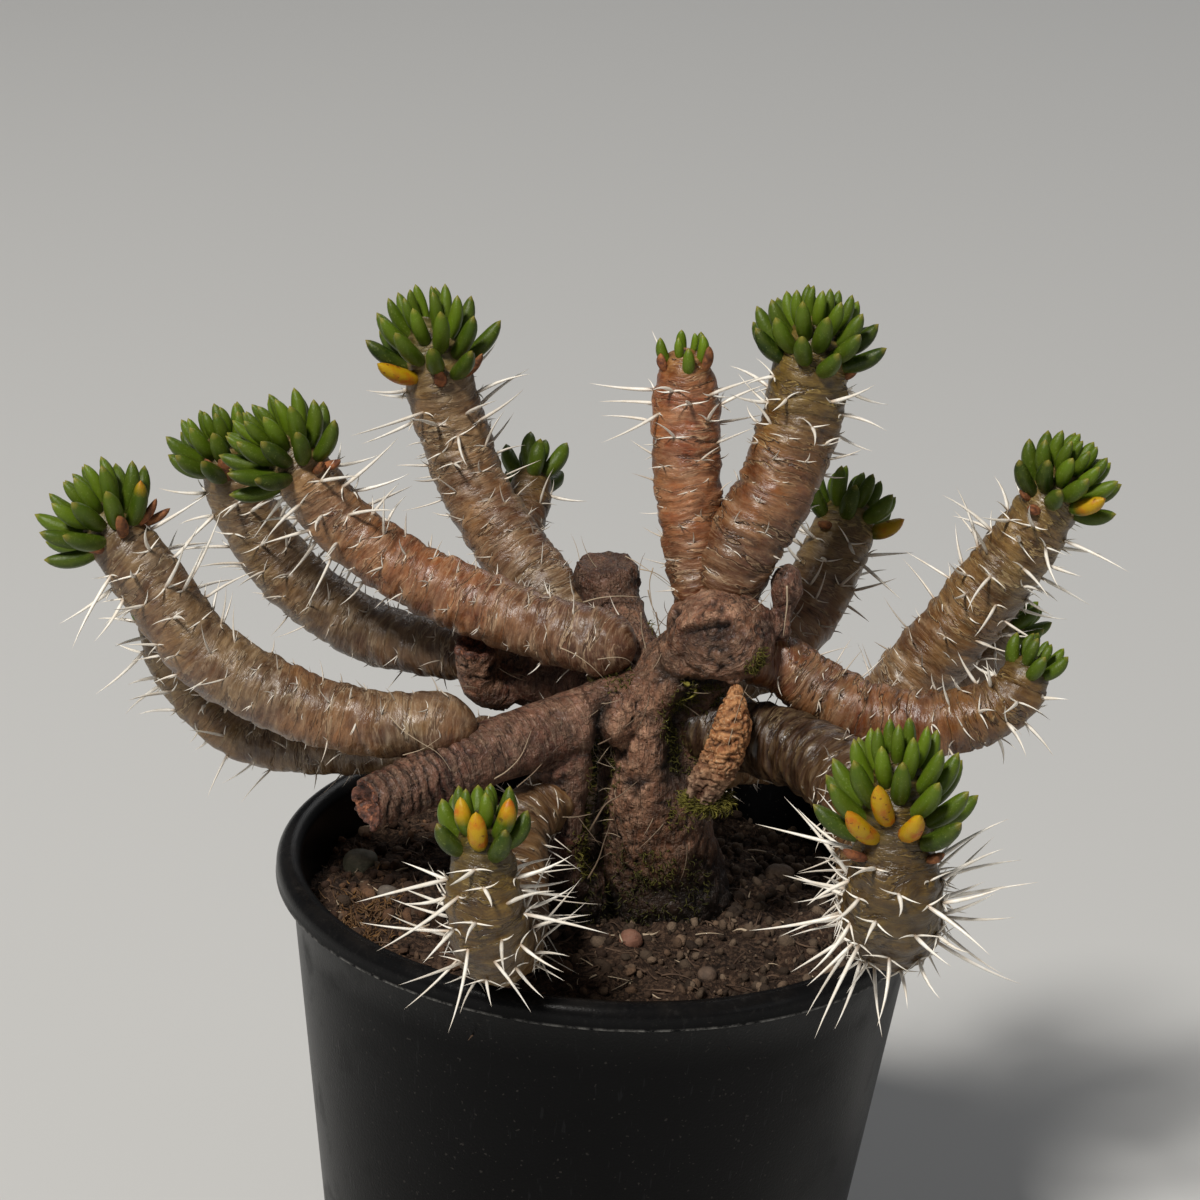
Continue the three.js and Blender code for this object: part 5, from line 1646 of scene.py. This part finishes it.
def fibres_piece(material):
    """Fibres that lie on the soil, and brown moss by the wall."""
    rows = []
    random, spots = scattered(*FIBRES)
    for x, y in spots:
        angle = random.random() * ANY_ROLL
        flat = np.array([math.cos(angle), math.sin(angle), 0.25 * (random.random() - 0.3)])
        size, roll = 2 + 5 * random.random() ** 2, random.random() * ANY_ROLL
        rows.append(place_at(
            on_soil(x, y, 0.4), flat, roll, 0.09 + 0.2 * random.random() ** 2, size,
            pale=float(random.random() < 0.25), ruddy=0.0,
        ))
    centre, spread, count = BROWN_MOSS
    for _ in range(count):
        x, y = np.array(centre) + np.array(spread) * random.normal(size=2)
        if math.hypot(x, y) < LITTER_EDGE - 1:
            rows.append(place_at(
                on_soil(x, y, 0.3), (*random.normal(size=2), 0.9), random.random() * ANY_ROLL,
                0.1 + 0.08 * random.random(), 1.0 + 1.5 * random.random(), pale=0.3 * random.random(),
                ruddy=0.4 + 0.6 * random.random(),
            ))
    tree = form_tree("Twigs and fibres", HAIR_PROFILE, sides=4, steps=4, bend=2, tag="fibre_along")
    repeated("soil_fibres", tree, rows, "soil", Material=material)


def pebble_pieces():
    rows, sides = 18, 26
    for n, (name, ((x, y), radii, dark, light)) in enumerate(PEBBLES.items()):
        shape = ball(rows, sides)
        shape *= (1 + 0.14 * layered(shape * 1.5 + n * 9, 30 + n))[:, None]
        shape = shape * radii @ np.array(Matrix.Rotation(-n, 3, "Z"))
        points = shape + on_soil(x, y, 0.25 * radii[2])
        piece = object_of("stone_" + name, points, closed_faces(rows - 1, sides, downwards=True))
        finish(piece, pebble_stone(name.replace("_", " "), dark, light), name, [name])


# ---------- scene

# The photo's view: degrees down and of roll; in metres, the distance and the place looked at
VIEW_DOWN, VIEW_ROLL, VIEW_AWAY, VIEW_MIDDLE = 20.09, 3.83, 0.567, (-0.00426, 0, 0.15451)


def place_camera():
    data = bpy.data.cameras.new("photo view")
    data.lens, data.sensor_width = 96, 36
    down, roll = math.radians(VIEW_DOWN), math.radians(VIEW_ROLL)
    back = Vector((0, -math.cos(down), math.sin(down)))
    right = Vector((1, 0, 0))
    up = back.cross(right).normalized()
    x = math.cos(roll) * right + math.sin(roll) * up
    y = -math.sin(roll) * right + math.cos(roll) * up
    eye = Vector(VIEW_MIDDLE) + VIEW_AWAY * back
    camera = linked("photo view", data)
    camera.matrix_world = Matrix.Translation(eye) @ Matrix((x, y, back)).transposed().to_4x4()
    bpy.context.scene.camera = camera


def area_light(name, at, size, power, tone=(1, 1, 1), plant=(0, 0, 0.14)):
    """A round soft light that looks at the plant."""
    data = bpy.data.lights.new(name, "AREA")
    data.shape, data.size, data.energy, data.color = "DISK", size, power, tone
    lamp = linked(name, data)
    lamp.location = at
    lamp.rotation_euler = (Vector(plant) - Vector(at)).to_track_quat("-Z", "Y").to_euler()


def studio():
    """A pale floor under a key light from the front left, with weak light from the other sides."""
    world = bpy.data.worlds.new("studio")
    bpy.context.scene.world = world
    world.use_nodes = True
    colour, strength = world.node_tree.nodes["Background"].inputs[:2]
    colour.default_value, strength.default_value = (0.93, 0.95, 1, 1), 0.09
    area_light("key", (-1.1, -1.8, 2.7), 0.6, 118, (1, 0.97, 0.92))
    area_light("fill", (2.4, -1.4, 1.2), 1.6, 5, (0.95, 0.97, 1))
    area_light("back", (0.6, 2.4, 2.0), 1.4, 12)
    wide = 4 / MM
    corners = [(-wide, -wide, 0), (wide, -wide, 0), (wide, wide, 0), (-wide, wide, 0)]
    floor = object_of("floor", corners, [range(4)])
    made = Finish("Pale floor", Roughness=0.9)
    made.shader.inputs["Base Color"].default_value = (0.60, 0.60, 0.59, 1)
    floor.data.materials.append(made.material)
    bpy.context.scene.view_settings.view_transform = "Standard"


def taken_room():
    """The room that the stems with their growing tips, the trunk and the dead shoot take."""
    room = Room()
    for stem in STEMS.values():
        line = stem.line
        room.add_limb("stem_" + stem.name, line)
        tip, way = line.end()
        top = tip + way * stem.crown * 0.7
        room.add("tuft_" + stem.name, tip, top, line.radius(line.length) * TIP_WIDTH)
    for stations in TRUNK_LIMBS.values():
        room.add_limb("woody_trunk", Centreline(stations))
    for centre, radii in KNOBS:
        room.add("woody_trunk", centre, centre, radii[0])
    room.add_limb("dried_branchlet", Centreline(DRIED_BRANCHLET))
    return room


place_camera()
studio()

for number, (name, stem) in enumerate(STEMS.items()):
    stem.name, stem.number, stem.line = name, number, Centreline(stem.path)

room = taken_room()
rootlets = root_brown()
pot_piece(pot_plastic())
soil_piece(soil_peat())
grit_piece(grit_mixed())
fibres_piece(rootlets)
pebble_pieces()
moss_and_rootlets(trunk_piece(old_bark()), moss_green(), rootlets)
thin_roots(rootlets)
dried_piece(dried_flakes())
tufts(room, leaf_skin())
skins_and_spines(room, stem_skin(), spine_ivory())
